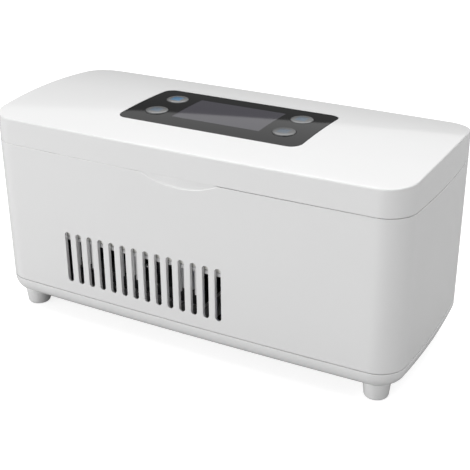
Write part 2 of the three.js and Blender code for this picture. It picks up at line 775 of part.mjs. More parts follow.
// Leads of the thermoelectric element, which run over the carrier and down to the main board
['red', 'black'].forEach((colour, i) => {
  const y = (i * 2 - 1) * leadSpread;
  const start = coolingX + peltierSide / 2 + fit;
  const level = (peltierTop + peltierBottom) / 2;
  const end = mainBoardTop + connectorHeight + fit * 2;
  const boardEdge = batteryX - mainBoardLength / 2 + leadRadius * 4;
  const path = new THREE.CatmullRomCurve3([
    new THREE.Vector3(start, y, level),
    new THREE.Vector3((start + leadDropX) / 2, y, level),
    new THREE.Vector3(leadDropX, y, carrierBottom + carrierThickness / 2),
    new THREE.Vector3((leadDropX + boardEdge) / 2, y, end + leadRadius * 2),
    new THREE.Vector3(boardEdge, y, end),
  ]);
  const section = new THREE.Shape().absarc(0, 0, leadRadius, 0, Math.PI * 2);
  const curveSegments = leadSides / 2;
  const settings = { steps: leadSteps, extrudePath: path, curveSegments, bevelEnabled: false };
  const lead = solid(new THREE.ExtrudeGeometry(section, settings));
  addPiece(`peltier_lead_${colour}`, lead, colour === 'red' ? redWire() : blackPlastic());
});

// Fan bracket: the black plate that hangs from the carrier's posts and carries the fan
const fanScrewSpots = [[-1, 1], [1, -1]].map(([sideX, sideY]) => (
  [coolingX + sideX * fanHoleSpread, sideY * fanHoleSpread]
));
function fanBracket() {
  const back = hangerY + hangerRadius;
  const body = block([bracketLeft, -back, bracketBottom], [bracketRight, back, bracketTop]);
  const bore = rod(fanBoreRadius, coolingX, 0, bracketBottom - overrun, bracketTop + overrun, boreSides);
  const holes = [...bracketScrewSpots, ...fanScrewSpots].map(([x, y]) => (
    screwHole(x, y, bracketBottom, bracketTop)
  ));
  return cut(body, [bore, ...holes]);
}
addPiece('fan_bracket', fanBracket(), blackPlastic());
bracketScrewSpots.forEach(([x, y], i) => {
  const seat = bracketBottom - fit;
  const length = bracketTop + screwBite - seat;
  addPiece(`bracket_screw_${['left', 'right'][i]}`, screw(length).translate([x, y, seat]), steel());
});

// Fan: a square frame with a stator on struts, and a rotor whose shaft runs in the stator
function fanFrame() {
  const body = plate(roundedRectangle(fanSide, fanSide, fanCorner), fanBottom, fanTop);
  const bore = rod(fanBoreRadius, 0, 0, fanBottom - overrun, fanTop + overrun, boreSides);
  const reach = (fanSide / 2 + fanBoreRadius) / 2;
  const half = fanStrutWidth / 2;
  const strutTop = fanBottom + fanBasePlate;
  const stator = join([
    rod(fanHubRadius, 0, 0, fanBottom, strutTop, roundSides),
    block([-reach, -half, fanBottom], [reach, half, strutTop]),
    block([-half, -reach, fanBottom], [half, reach, strutTop]),
    rod(statorRadius, 0, 0, fanBottom, strutTop + statorHeight, roundSides),
  ]);
  const bearing = rod(fanShaftRadius + fit, 0, 0, strutTop / 2 + fanBottom / 2, fanTop);
  const holes = fourCorners.map(([sideX, sideY]) => (
    screwHole(sideX * fanHoleSpread, sideY * fanHoleSpread, fanBottom, fanTop, fit * 2)
  ));
  return cut(body.subtract(bore).add(stator), [bearing, ...holes]).translate([coolingX, 0, 0]);
}
addPiece('fan_frame', fanFrame(), blackPlastic());

function fanRotor() {
  const capBottom = fanBottom + fanBasePlate + fit * 2;
  const capTop = fanTop - fit * 2;
  const shaftBottom = fanBottom + fanBasePlate / 2 + fit;
  const cap = turned([[0, shaftBottom], [fanShaftRadius, shaftBottom],
    [fanShaftRadius, capTop - fanHubWall], [fanHubRadius - fanHubWall, capTop - fanHubWall],
    [fanHubRadius - fanHubWall, capBottom], [fanHubRadius, capBottom], [fanHubRadius, capTop],
    [0, capTop]], roundSides);
  const tip = fanBoreRadius - bladeTipGap;
  const root = fanHubRadius - fanHubWall / 2;
  const middle = (capTop + capBottom) / 2;
  const blades = Array.from({ length: bladeCount }, (_, i) => {
    const geometry = new THREE.BoxGeometry(tip - root, bladeChord, bladeThickness);
    geometry.rotateX(bladePitch);
    geometry.translate((tip + root) / 2, 0, middle);
    geometry.rotateZ(i / bladeCount * Math.PI * 2);
    return solid(geometry);
  });
  const room = rod(tip, 0, 0, shaftBottom, capTop, boreSides);
  return join([cap, ...blades]).intersect(room).translate([coolingX, 0, 0]);
}
addPiece('fan_rotor', fanRotor(), blackPlastic());
fanScrewSpots.forEach(([x, y], i) => {
  const seat = fanBottom - fit;
  const length = bracketTop - seat;
  addPiece(`fan_screw_${['left', 'right'][i]}`, screw(length).translate([x, y, seat]), steel());
});

// Battery: four cells side by side in a cradle on the base tray, joined by two metal strips
const cellYs = Array.from({ length: cellCount }, (_, i) => (i - (cellCount - 1) / 2) * cellPitch);
cellYs.forEach((y, i) => {
  const start = batteryX - cellLength / 2;
  const end = batteryX + cellLength / 2;
  const isForward = i % 2 === 0;
  const can = rodAlongX(cellRadius, start, end, y, cellHeight);
  const nub = isForward
    ? rodAlongX(cellNubRadius, end - cellNub, end + cellNub, y, cellHeight, smallSides)
    : rodAlongX(cellNubRadius, start - cellNub, start + cellNub, y, cellHeight, smallSides);
  addPiece(`battery_cell_${i + 1}`, can.add(nub), cellBlue());
});
['left', 'right'].forEach((side, i) => {
  const direction = i * 2 - 1;
  const x = batteryX + direction * (stripX + stripThickness / 2);
  const reach = cellYs[cellCount - 1] + stripHeight / 2;
  const low = [x - stripThickness / 2, -reach, cellHeight - stripHeight / 2];
  const high = [x + stripThickness / 2, reach, cellHeight + stripHeight / 2];
  addPiece(`battery_strip_${side}`, block(low, high), steel());
});
function batteryCradle() {
  const y = cellYs[cellCount - 1] + cellRadius + cradleMargin;
  const bottom = wall + fit;
  const body = block([cradleLeft, -y, bottom], [cradleRight, y, bottom + cradleHeight]);
  const hollows = cellYs.map((spot) => (
    rodAlongX(cellRadius + fit, cradleLeft + cradleWall, cradleRight - cradleWall, spot, cellHeight)
  ));
  return cut(body, hollows);
}
addPiece('battery_cradle', batteryCradle(), blackPlastic());

// Main board: hung under the carrier over the battery, with its parts on top and a power inlet at the back
function mainBoard() {
  const left = batteryX - mainBoardLength / 2;
  const right = batteryX + mainBoardLength / 2;
  const tallX = batteryX + coilRadius * 4;
  const tallY = coilRadius * 3;
  const base = mainBoardTop - boardThickness / 2;
  const body = block([left, -mainBoardFront, mainBoardBottom], [right, mainBoardBack, mainBoardTop]);
  const chip = chipHeight * 3;
  const connectorTop = mainBoardTop + connectorHeight - leadRadius - fit;
  const parts = [
    centredBlock(batteryX, chip, chip, base, mainBoardTop + chipHeight),
    rod(coilRadius, tallX, 0, base, mainBoardTop + coilHeight),
    rod(capRadius, tallX, tallY, base, mainBoardTop + capHeight),
    rod(capRadius, tallX, -tallY, base, mainBoardTop + capHeight),
    centredBlock(left + leadSlotReach * 2, leadSlotReach, leadSpread * 2, base, connectorTop),
  ];
  const holes = boardScrewSpots.map(([x, y]) => screwHole(x, y, mainBoardBottom, mainBoardTop));
  return cut(join([body, ...parts]), holes);
}
addPiece('main_board', mainBoard(), greenBoard());
boardScrewSpots.forEach(([x, y], i) => {
  const seat = mainBoardBottom - fit;
  const length = mainBoardTop + screwBite - seat;
  addPiece(`board_screw_${['left', 'right'][i]}`, screw(length).translate([x, y, seat]), steel());
});

function dcJack() {
  const bottom = mainBoardTop + fit;
  const front = hingeY - draftAt(jackMiddle) - frontBow - wall - fit;
  const tip = front + jackNoseLength;
  const low = [jackX - jackWidth / 2, front - jackLength, bottom];
  const high = [jackX + jackWidth / 2, front, bottom + jackHeight];
  const nose = rodAlongY(jackNoseRadius, front - jackNoseLength, tip, jackX, jackMiddle);
  const bore = rodAlongY(jackBoreRadius, tip - jackBoreDepth, tip + overrun, jackX, jackMiddle);
  const pin = rodAlongY(jackPinRadius, front - jackLength + fit, front, jackX, jackMiddle, smallSides);
  return block(low, high).add(nose).subtract(bore).add(pin);
}
addPiece('dc_jack', dcJack(), blackPlastic());

// Lid: an arched cover with a recess for the panel, bosses for the liner and pegs for the display board
function lidShell() {
  const above = rimHeight + topArch + overrun;
  const outside = slab(0, lidBottom, above).intersect(underArch(0));
  const hollow = slab(wall, lidBottom - overrun, rimHeight + topArch).intersect(underArch(lidRoof));
  const roofMiddle = underArch(lidRoof / 2);
  const boss = (radius, x, y, z) => rod(radius, x, y, z, rimHeight + topArch).intersect(roofMiddle);
  const bosses = fourCorners.map(([sideX, sideY]) => (
    boss(lidBossRadius, sideX * lidBossX, sideY * lidBossY, linerTop + fit)
  ));
  const pegs = [-postX, postX].flatMap((x) => [
    boss(postRadius, x, 0, displayBoardTop + fit),
    rod(pegRadius, x, 0, displayBoardBottom - pegProud, displayBoardTop + lidRoof),
  ]);
  const recess = plate(panelShape(panelGap), lidBottom, above)
    .translate([panelShift, 0, 0])
    .subtract(underArch(windowThickness + panelGap));
  const screenHole = screenBlock(fit, displayBoardTop, above);
  const keyHoles = keys.map(({ x, y }) => rod(keyRadius + fit, x, y, keyFlangeBottom, above, roundSides));
  const screwTop = linerTop + fit + lidScrewBite + fit;
  const screwHoles = fourCorners.map(([sideX, sideY]) => (
    rod(screwRadius + fit, sideX * lidBossX, sideY * lidBossY, linerBottom, screwTop)
  ));
  const shell = cut(outside, [hollow]);
  const fitted = cut(join([shell, ...bosses, ...pegs]), [recess, screenHole, ...keyHoles]);
  const hinged = join([cut(fitted, lidNotches), ...hingeRods(lidKnuckles, knuckleRadius, 0)]);
  return cut(hinged, [...screwHoles, ...pinBores]);
}
function panelShape(margin) {
  return roundedRectangle(panelLength + margin * 2, panelDepth + margin * 2, panelCorner + margin);
}
addPiece('lid_shell', lidShell(), whiteGloss());

// Panel: a dark plate that follows the arch of the lid, flush with its top, open at the keys and screen
function displayWindow() {
  const above = rimHeight + topArch + overrun;
  const body = plate(panelShape(0), lidBottom, above)
    .translate([panelShift, 0, 0])
    .intersect(underArch(0))
    .subtract(underArch(windowThickness));
  const holes = keys.map(({ x, y }) => rod(keyRadius + fit, x, y, lidBottom, above, roundSides));
  return cut(body, [...holes, screenBlock(fit, lidBottom, above)]);
}
addPiece('display_window', displayWindow(), blackGloss());

// Display module: a block on its board whose glass fills the opening in the panel
function screenBlock(margin, z0, z1) {
  const halfX = screenLength / 2 + margin;
  const halfY = screenDepth / 2 + margin;
  return centredBlock(0, halfX, halfY, z0, z1).translate([panelShift, screenShift, 0]);
}
const displayModule = screenBlock(0, displayBoardTop + fit, rimHeight + topArch + overrun)
  .intersect(underArch(screenDrop));
addPiece('display_module', displayModule, screenGrey());

// Keys: round caps that stand a little proud of the panel, with a flange that keeps them under the roof
keys.forEach(({ name, x, y }) => {
  const top = archHeight(y) + keyProud;
  const flangeRadius = keyRadius + keyFlange;
  const cap = turned([[0, keyFlangeBottom], [flangeRadius, keyFlangeBottom],
    [flangeRadius, keyFlangeTop], [keyRadius, keyFlangeTop], [keyRadius, top - keyBevel],
    [keyRadius - keyBevel, top], [0, top]], roundSides);
  addPiece(name, cap.translate([x, y, 0]), silver());
});

// Display board with a switch under each key
function displayBoard() {
  const x = displayBoardLength / 2;
  const y = displayBoardDepth / 2;
  const body = block([-x, -y, displayBoardBottom], [x, y, displayBoardTop]);
  const half = switchSide / 2;
  const switches = keys.map((key) => block(
    [key.x - half, key.y - half, displayBoardTop - boardThickness / 2],
    [key.x + half, key.y + half, switchTop],
  ));
  const holes = [-postX, postX].map((spot) => (
    rod(pegRadius + fit, spot, 0, displayBoardBottom - overrun, displayBoardTop + overrun)
  ));
  return cut(join([body, ...switches]), holes);
}
addPiece('display_board', displayBoard(), greenBoard());

// Liner: the lid's inner pan, with a plug that reaches into the chamber mouth and a pocket for the magnet
function plugShape(margin) {
  const inset = plugMargin + margin;
  return roundedRectangle(chamberLength - inset * 2, chamberWidth - inset * 2, chamberCorner);
}
const plugBottom = deckTop - plugDepth;
const headDepth = linerThickness / 2;
const catchTop = linerBottom + magnetThickness + fit + linerThickness;
function lidLiner() {
  const pan = slab(wall + fit, linerBottom, linerTop);
  const plug = plate(plugShape(0), plugBottom, linerTop);
  const hollow = plate(plugShape(linerThickness), plugBottom + linerThickness, linerTop + overrun);
  const under = linerBottom - overrun;
  const catchBoss = rod(catchRadius + linerThickness, 0, catchY, linerBottom, catchTop);
  const catchSeat = rod(catchRadius + fit, 0, catchY, under, linerBottom + magnetThickness + fit);
  const headSeats = fourCorners.map(([sideX, sideY]) => (
    rod(headRadius + fit, sideX * lidBossX, sideY * lidBossY, under, linerBottom + headDepth)
  ));
  const holes = fourCorners.map(([sideX, sideY]) => (
    screwHole(sideX * lidBossX, sideY * lidBossY, linerBottom, linerTop)
  ));
  const body = join([pan, plug, catchBoss]);
  return cut(body, [hollow, catchSeat, ...headSeats, ...holes, ...lidNotches, ...bodyNotches]);
}
addPiece('lid_liner', lidLiner(), whiteSatin());
const magnet = rod(catchRadius, 0, catchY, linerBottom, linerBottom + magnetThickness);
addPiece('lid_magnet', magnet, steel());
fourCorners.forEach(([sideX, sideY], i) => {
  const seat = linerBottom + headDepth - fit;
  const length = linerTop + fit + lidScrewBite - seat;
  const spot = [sideX * lidBossX, sideY * lidBossY, seat];
  addPiece(`lid_screw_${i + 1}`, screw(length).translate(spot), steel());
});

// Gasket: a silicone ring under the liner that meets the deck round the chamber mouth
const gasketRing = (margin, z0, z1) => plate(chamberShape(margin), z0, z1);
const gasket = gasketRing(gasketMargin + gasketWidth, deckTop + fit, linerBottom - fit)
  .subtract(gasketRing(gasketMargin, deckTop - overrun, linerBottom + overrun));
addPiece('lid_gasket', gasket, silicone());

// Insulation in the lid, cut out for the board, the bosses and the magnet, with a block in the plug
function lidInsulation() {
  const top = rimHeight - lidRoof - fit;
  const body = slab(wall + fit, linerTop + fit, top);
  const plugFloor = plugBottom + linerThickness + fit;
  const inPlug = plate(plugShape(linerThickness + fit), plugFloor, linerTop + fit * 2);
  const boardX = displayBoardLength / 2 + fit;
  const boardY = displayBoardDepth / 2 + fit;
  const boardFloor = displayBoardBottom - pegProud - fit;
  const boardRoom = centredBlock(0, boardX, boardY, boardFloor, top + overrun);
  const bossRooms = fourCorners.map(([sideX, sideY]) => (
    rod(lidBossRadius + fit, sideX * lidBossX, sideY * lidBossY, linerTop, top + overrun)
  ));
  const catchRoom = rod(catchRadius + linerThickness + fit, 0, catchY, linerTop, catchTop + fit);
  return cut(body.add(inPlug), [boardRoom, ...bossRooms, catchRoom]);
}
addPiece('lid_insulation', lidInsulation(), foam());

export default assembly;
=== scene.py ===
# Insulin cooling case, seen from its front right. Every piece is made in millimetres from the underside
# of the base tray, and moved to the frame in metres when it is finished.

import math

import bmesh
import bpy
from mathutils import Matrix, Vector


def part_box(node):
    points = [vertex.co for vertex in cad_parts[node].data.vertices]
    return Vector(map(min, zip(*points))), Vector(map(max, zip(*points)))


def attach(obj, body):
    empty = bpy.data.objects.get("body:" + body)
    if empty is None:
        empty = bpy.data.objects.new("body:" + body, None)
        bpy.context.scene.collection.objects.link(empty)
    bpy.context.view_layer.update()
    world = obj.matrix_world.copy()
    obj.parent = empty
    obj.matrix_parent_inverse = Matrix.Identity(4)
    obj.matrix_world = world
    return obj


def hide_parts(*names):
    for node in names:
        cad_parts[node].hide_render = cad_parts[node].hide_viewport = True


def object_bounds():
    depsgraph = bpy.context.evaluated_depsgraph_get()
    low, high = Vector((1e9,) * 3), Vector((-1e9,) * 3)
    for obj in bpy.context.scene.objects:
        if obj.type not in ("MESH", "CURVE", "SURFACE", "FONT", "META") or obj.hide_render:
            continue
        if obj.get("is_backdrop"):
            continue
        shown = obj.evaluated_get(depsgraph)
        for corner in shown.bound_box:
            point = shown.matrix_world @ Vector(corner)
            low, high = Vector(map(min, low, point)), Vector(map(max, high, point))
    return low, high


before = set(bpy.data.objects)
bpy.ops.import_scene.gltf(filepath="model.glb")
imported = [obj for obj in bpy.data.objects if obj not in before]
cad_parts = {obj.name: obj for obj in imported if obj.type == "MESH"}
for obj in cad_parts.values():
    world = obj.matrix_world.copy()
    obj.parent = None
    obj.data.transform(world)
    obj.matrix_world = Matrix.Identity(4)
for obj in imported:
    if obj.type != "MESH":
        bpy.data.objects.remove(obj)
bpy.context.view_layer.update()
scene = bpy.context.scene

# Camera: a long lens that looks down on the front and the right-hand end, placed by its own distance,
# azimuth and elevation from a point inside the case.
azimuth = math.radians(28.565)
elevation = math.radians(24.983)
roll = math.radians(-0.264)
distance = 0.47196
aim = Vector((0.003554, -0.0014, 0.041818))
back = Vector((math.sin(azimuth) * math.cos(elevation), -math.cos(azimuth) * math.cos(elevation),
               math.sin(elevation)))
level = Vector((math.cos(azimuth), math.sin(azimuth), 0))
upright = back.cross(level)
camera_right = level * math.cos(roll) + upright * math.sin(roll)
camera_up = upright * math.cos(roll) - level * math.sin(roll)
lens = bpy.data.cameras.new("camera")
lens.sensor_width = 36
lens.lens = 76.93
camera = bpy.data.objects.new("camera", lens)
camera.matrix_world = (Matrix.Translation(aim + back * distance)
                       @ Matrix((camera_right, camera_up, back)).transposed().to_4x4())
scene.collection.objects.link(camera)
scene.camera = camera
scene.view_settings.view_transform = "Standard"


# Base tray: a shallow dish of white gloss ABS, injection moulded with a rounded lower edge. Its tongue
# fits inside the body, which leaves a fine groove round the case, and a grille lets air in to the fan.
case_length = 205
case_depth = 91
corner_radius = 12
end_bow = 2.2
side_bow = 1.2
body_draft = 0.6
wall = 2.4
base_height = 8
seam_height = 77.8
rim_height = 89.7
top_arch = 2.7
fillet_depth = 6
fillet_height = 7.2
inner_fillet = 2.6
hinge_overhang = 1.4
foot_height = 8


class Value:
    """An output of a node, which can stand in a sum or in the inputs of another node."""

    def __init__(self, socket):
        self.socket = socket

    def other(self, label):
        return Value(self.socket.node.outputs[label])

    def __add__(self, number):
        return calc("ADD", self, number)

    def __sub__(self, number):
        return calc("SUBTRACT", self, number)

    def __rsub__(self, number):
        return calc("SUBTRACT", number, self)

    def __mul__(self, number):
        return calc("MULTIPLY", self, number)

    def __truediv__(self, number):
        return calc("DIVIDE", self, number)


def feed(node, inputs):
    """Sets or links the inputs of a node."""
    for name, value in inputs.items():
        for source in value if isinstance(value, list) else [value]:
            if isinstance(source, Value):
                node.id_data.links.new(source.socket, node.inputs[name])
            else:
                node.inputs[name].default_value = source


def add(tree, kind, inputs=None, out=0, **settings):
    """Adds a node to a tree, sets its options and inputs, and gives one of its outputs."""
    node = tree.nodes.new(kind)
    for name, value in settings.items():
        setattr(node, name, value)
    feed(node, inputs or {})
    return Value(node.outputs[out]) if len(node.outputs) else node


def home(*values):
    """The node tree that the values belong to."""
    return next(value.socket.id_data for value in values if isinstance(value, Value))


def calc(operation, *values):
    """The result of a Math node."""
    return add(home(*values), "ShaderNodeMath", dict(enumerate(values)), operation=operation)


def vector(x=0.0, y=0.0, z=0.0):
    """A vector of three numbers in a node tree."""
    return add(home(x, y, z), "ShaderNodeCombineXYZ", {"X": x, "Y": y, "Z": z})


def numbers(place):
    """The three numbers of a vector in a node tree."""
    across = add(home(place), "ShaderNodeSeparateXYZ", {0: place})
    return across, across.other("Y"), across.other("Z")


def scaled(place, share):
    """A vector in a node tree times a number."""
    return add(home(place), "ShaderNodeVectorMath", {0: place, "Scale": share}, operation="SCALE")


def shifted(geometry, offset):
    """The geometry of a node tree, moved as a whole."""
    return add(home(geometry), "GeometryNodeTransform", {0: geometry, "Translation": offset})


def bent(geometry, offset):
    """The geometry of a node tree, with each point moved by its own offset."""
    return add(home(geometry), "GeometryNodeSetPosition", {"Geometry": geometry, "Offset": offset})


def new_tree(name, kind, inputs, outputs):
    """Makes a node tree with named inputs and outputs, and gives it with the values of its inputs."""
    tree = bpy.data.node_groups.new(name, kind)
    for way, sockets in (("INPUT", inputs), ("OUTPUT", outputs)):
        for label, socket in sockets.items():
            tree.interface.new_socket(label, in_out=way, socket_type="NodeSocket" + socket)
    return tree, {socket.name: Value(socket) for socket in tree.nodes.new("NodeGroupInput").outputs}


def new_geometry(name, inputs):
    """Makes a geometry tree, which takes and gives a geometry beside its other inputs."""
    geometry = {"Geometry": "Geometry"}
    return new_tree(name, "GeometryNodeTree", {**geometry, **inputs}, geometry)


def close_geometry(geometry, finish):
    """Ends a geometry tree, whose copies become one mesh with the finish that it is given."""
    real = add(home(geometry), "GeometryNodeRealizeInstances", {0: geometry})
    finished = add(home(real), "GeometryNodeSetMaterial", {"Geometry": real, "Material": finish})
    add(home(real), "NodeGroupOutput", {"Geometry": finished})
    return home(real)


def bake(piece):
    """Turns a piece with its modifiers into a plain mesh."""
    graph = bpy.context.evaluated_depsgraph_get()
    mesh = bpy.data.meshes.new_from_object(piece.evaluated_get(graph), depsgraph=graph,
                                           preserve_all_data_layers=True)
    piece.modifiers.clear()
    piece.data = mesh
    return piece


def grown(piece, tree, values):
    """Runs a geometry tree on a piece, with its inputs set by name, and keeps the result as a mesh."""
    modifier = piece.modifiers.new(tree.name, "NODES")
    modifier.node_group = tree
    for item in tree.interface.items_tree:
        if item.in_out == "INPUT" and item.name in values:
            modifier[item.identifier] = values[item.name]
    return bake(piece)


def cut(piece, *tools, operation="DIFFERENCE"):
    """Cuts the tools out of a piece, and removes them."""
    for tool in tools:
        modifier = piece.modifiers.new(tool.name, "BOOLEAN")
        modifier.operation = operation
        modifier.solver = "MANIFOLD"
        modifier.object = tool
    bake(piece)
    for tool in tools:
        bpy.data.objects.remove(tool)


def join(piece, *others):
    """Joins other pieces to a piece."""
    cut(piece, *others, operation="UNION")


def new_piece(name, mesh=None):
    """Puts a mesh in the scene as an object."""
    piece = bpy.data.objects.new(name, mesh or bpy.data.meshes.new(name))
    scene.collection.objects.link(piece)
    return piece


def solid(name, shape):
    """Makes a piece of a shape that is ready."""
    mesh = bpy.data.meshes.new(name)
    shape.to_mesh(mesh)
    shape.free()
    return new_piece(name, mesh)


def skin(name, rings, closed=False):
    """A closed skin through rings or tips, with flat ends or joined into a loop."""
    shape = bmesh.new()
    loops = [[shape.verts.new(point) for point in ring] for ring in rings]
    count = max(len(loop) for loop in loops)
    pairs = list(zip(loops, loops[1:]))
    if closed:
        pairs.append((loops[-1], loops[0]))
    elif len(loops[0]) > 1:
        shape.faces.new(reversed(loops[0]))
        shape.faces.new(loops[-1])
    for low, high in pairs:
        for i in range(count):
            j = (i + 1) % count
            corners = (low[i % len(low)], low[j % len(low)], high[j % len(high)], high[i % len(high)])
            shape.faces.new(dict.fromkeys(corners))
    return solid(name, shape)


quarter_turn = math.pi / 2


def laid(piece, centre, axis="Y", angle=quarter_turn):
    """Turns a piece about an axis and moves it to a centre."""
    piece.data.transform(Matrix.Translation(centre) @ Matrix.Rotation(angle, 4, axis))
    return piece


def arc(steps):
    """Pairs of sine and cosine through a quarter turn."""
    turns = [step / steps * quarter_turn for step in range(steps + 1)]
    return [(math.sin(turn), math.cos(turn)) for turn in turns]


def round_rectangle(half_x, half_y, radius, corner_steps=12, long_steps=1, short_steps=1):
    """Points round a rectangle with round corners, anticlockwise."""
    points = []
    for quarter, (side_x, side_y) in enumerate([(1, 1), (-1, 1), (-1, -1), (1, -1)]):
        for step in range(corner_steps + 1):
            angle = (quarter + step / corner_steps) * quarter_turn
            points.append((side_x * (half_x - radius) + radius * math.cos(angle),
                           side_y * (half_y - radius) + radius * math.sin(angle)))
        upright_side = quarter % 2
        steps = short_steps if upright_side else long_steps
        for step in range(1, steps):
            along = 1 - 2 * step / steps
            if upright_side:
                points.append((side_x * half_x, side_y * (half_y - radius) * along))
            else:
                points.append((side_x * (half_x - radius) * along, side_y * half_y))
    return points


ring_marks = ("half_length", "half_depth", "arched")


def make_case_rule():
    """A tree that bows the straight walls of a skin outwards in plan and arches what is marked so."""
    tree, given = new_geometry("bowed_and_arched", {
        "End Bow": "Float", "Side Bow": "Float", "Arch": "Float", "Half Depth": "Float"})
    half_length, half_depth, arched = [
        add(tree, "GeometryNodeInputNamedAttribute", {"Name": name}, "Attribute") for name in ring_marks]
    x, y = numbers(add(tree, "GeometryNodeInputPosition"))[:2]
    along = x / half_length
    across = y / half_depth
    end_shift = along * given["End Bow"] * (across * across)
    side_shift = across * given["Side Bow"] * (along * along)
    share = (y - side_shift) / given["Half Depth"]
    lift = (1.0 - share * share) * given["Arch"] * arched
    moved = bent(given["Geometry"], vector(end_shift * -1.0, side_shift * -1.0, lift))
    add(tree, "NodeGroupOutput", {"Geometry": moved})
    return tree


case_rule = make_case_rule()


def ruled(piece, marks):
    """Runs the case rule on a skin, whose rings each have a half length, half depth and arch mark."""
    per_ring = len(piece.data.vertices) // len(marks)
    for column, name in enumerate(ring_marks):
        values = [mark[column] for mark in marks for _ in range(per_ring)]
        piece.data.attributes.new(name, "FLOAT", "POINT").data.foreach_set("value", values)
    grown(piece, case_rule, {"End Bow": end_bow, "Side Bow": side_bow, "Arch": top_arch,
                             "Half Depth": case_depth / 2})
    for name in ring_marks:
        piece.data.attributes.remove(piece.data.attributes[name])
    return piece


def case_skin(name, levels, closed=False):
    """A skin that follows the outline of the case, through levels of inset, height and arch mark."""
    rings = []
    marks = []
    smallest_radius = 0.8
    for inset, height, *arched in levels:
        draft = body_draft * max(0, 1 - height / seam_height)
        half_x = case_length / 2 - inset
        half_y = case_depth / 2 - inset - draft
        radius = max(corner_radius - inset, smallest_radius)
        rings.append([(x, y, height) for x, y in round_rectangle(half_x, half_y, radius, 14, 28, 14)])
        marks.append((half_x, half_y, *(arched or [0])))
    return ruled(skin(name, rings, closed), marks)


def quarter_round(inset, height, radius, steps):
    """Levels of inset and height that round off an upper edge."""
    return [(inset + radius * (1 - cosine), height + radius * sine) for sine, cosine in arc(steps)]


def plate_skin(name, half_x, half_y, radius, levels, centre=(0, 0), closed=False):
    """A skin with the outline of a round-cornered rectangle, through levels of growth and height."""
    rings = []
    for growth, height in levels:
        outline = round_rectangle(half_x + growth, half_y + growth, max(radius + growth, 0.05))
        rings.append([(x + centre[0], y + centre[1], height) for x, y in outline])
    return skin(name, rings, closed)


def turned(name, profile, centre=(0, 0, 0), sides=64, closed=False):
    """A piece turned about an upright axis, from pairs of radius and height."""
    turns = [turn * math.tau / sides for turn in range(sides)]
    rings = [[(radius * math.cos(turn), radius * math.sin(turn), height) for turn in turns]
             if radius else [(0, 0, height)] for radius, height in profile]
    return laid(skin(name, rings, closed), centre, angle=0)


def rod(name, radius, spot, low, high, sides=64):
    """A plain upright cylinder between two heights."""
    return turned(name, [(0, low), (radius, low), (radius, high), (0, high)], (*spot, 0), sides)


def rods(name, radius, spots, low, high, sides=64):
    """Plain upright cylinders, for holes and bosses."""
    return [rod(name, radius, spot, low, high, sides) for spot in spots]


def make_row():
    """A tree that sets copies of an object in a row along X, and bows the row with the front wall."""
    tree, given = new_geometry("row_of_copies", {
        "Copy": "Object", "Count": "Int", "Pitch": "Float", "First": "Vector", "Bow": "Float",
        "Half Length": "Float", "Finish": "Material"})
    line = add(tree, "GeometryNodeMeshLine", {
        "Count": given["Count"], "Start Location": given["First"], "Offset": vector(given["Pitch"])})
    share = numbers(add(tree, "GeometryNodeInputPosition"))[0] / given["Half Length"]
    bowed = bent(line, vector(0.0, share * share * given["Bow"]))
    copy = add(tree, "GeometryNodeObjectInfo", {"Object": given["Copy"]}, "Geometry")
    copies = add(tree, "GeometryNodeInstanceOnPoints", {"Points": bowed, "Instance": copy})
    return close_geometry(copies, given["Finish"])


row_tree = make_row()


def row_of(name, copy, count, pitch, first, bow=0.0):
    """A row of copies of an object as one mesh, after which the object itself is removed."""
    row = grown(new_piece(name), row_tree, {"Copy": copy, "Count": count, "Pitch": pitch, "First": first,
                                            "Bow": bow, "Half Length": case_length / 2})
    bpy.data.objects.remove(copy)
    return row


def make_moulded_grain():
    """A shader group for moulded and cut surfaces: faint colour drift, fine grain and uneven gloss."""
    tree, given = new_tree("moulded_grain", "ShaderNodeTree", {
        "Place": "Vector", "Colour": "Color", "Drift": "Float", "Drift Scale": "Float",
        "Grain Scale": "Float", "Stretch": "Vector", "Roughness": "Float", "Roughness Spread": "Float"
    }, {"Colour": "Color", "Roughness": "Float", "Height": "Float"})
    drift = add(tree, "ShaderNodeTexNoise", {
        "Vector": given["Place"], "Scale": given["Drift Scale"], "Detail": 3.0})
    stretched = add(tree, "ShaderNodeVectorMath", {0: given["Place"], 1: given["Stretch"]},
                    operation="MULTIPLY")
    grain = add(tree, "ShaderNodeTexNoise", {
        "Vector": stretched, "Scale": given["Grain Scale"], "Detail": 2.0})
    add(tree, "NodeGroupOutput", {
        "Colour": scaled(given["Colour"], 1.0 - drift * given["Drift"]),
        "Roughness": given["Roughness"] + (grain - 0.5) * given["Roughness Spread"], "Height": grain})
    return tree


moulded_grain = make_moulded_grain()


def grained(name, colour, drift, drift_scale, grain_scale, roughness, spread, relief, stretch=(1, 1, 1),
            **constants):
    """A material of moulded grain, with constant values set on the shader's own sockets."""
    finish = bpy.data.materials.new(name)
    finish.use_nodes = True
    tree = finish.node_tree
    tint = add(tree, "ShaderNodeGroup", {
        "Place": add(tree, "ShaderNodeTexCoord", out="Object"), "Colour": (*colour, 1), "Drift": drift,
        "Drift Scale": drift_scale, "Grain Scale": grain_scale, "Stretch": stretch,
        "Roughness": roughness, "Roughness Spread": spread}, "Colour", node_tree=moulded_grain)
    bump = add(tree, "ShaderNodeBump", {
        "Strength": 1.0, "Distance": relief, "Height": tint.other("Height")})
    feed(tree.nodes["Principled BSDF"], {
        "Base Color": tint, "Roughness": tint.other("Roughness"), "Normal": bump,
        **{label.replace("_", " "): value for label, value in constants.items()}})
    return finish


white_gloss = grained("white_gloss_abs", (0.80, 0.80, 0.80), 0.02, 25.0, 500.0, 0.08, 0.03, 0.000001,
                      IOR=1.53)


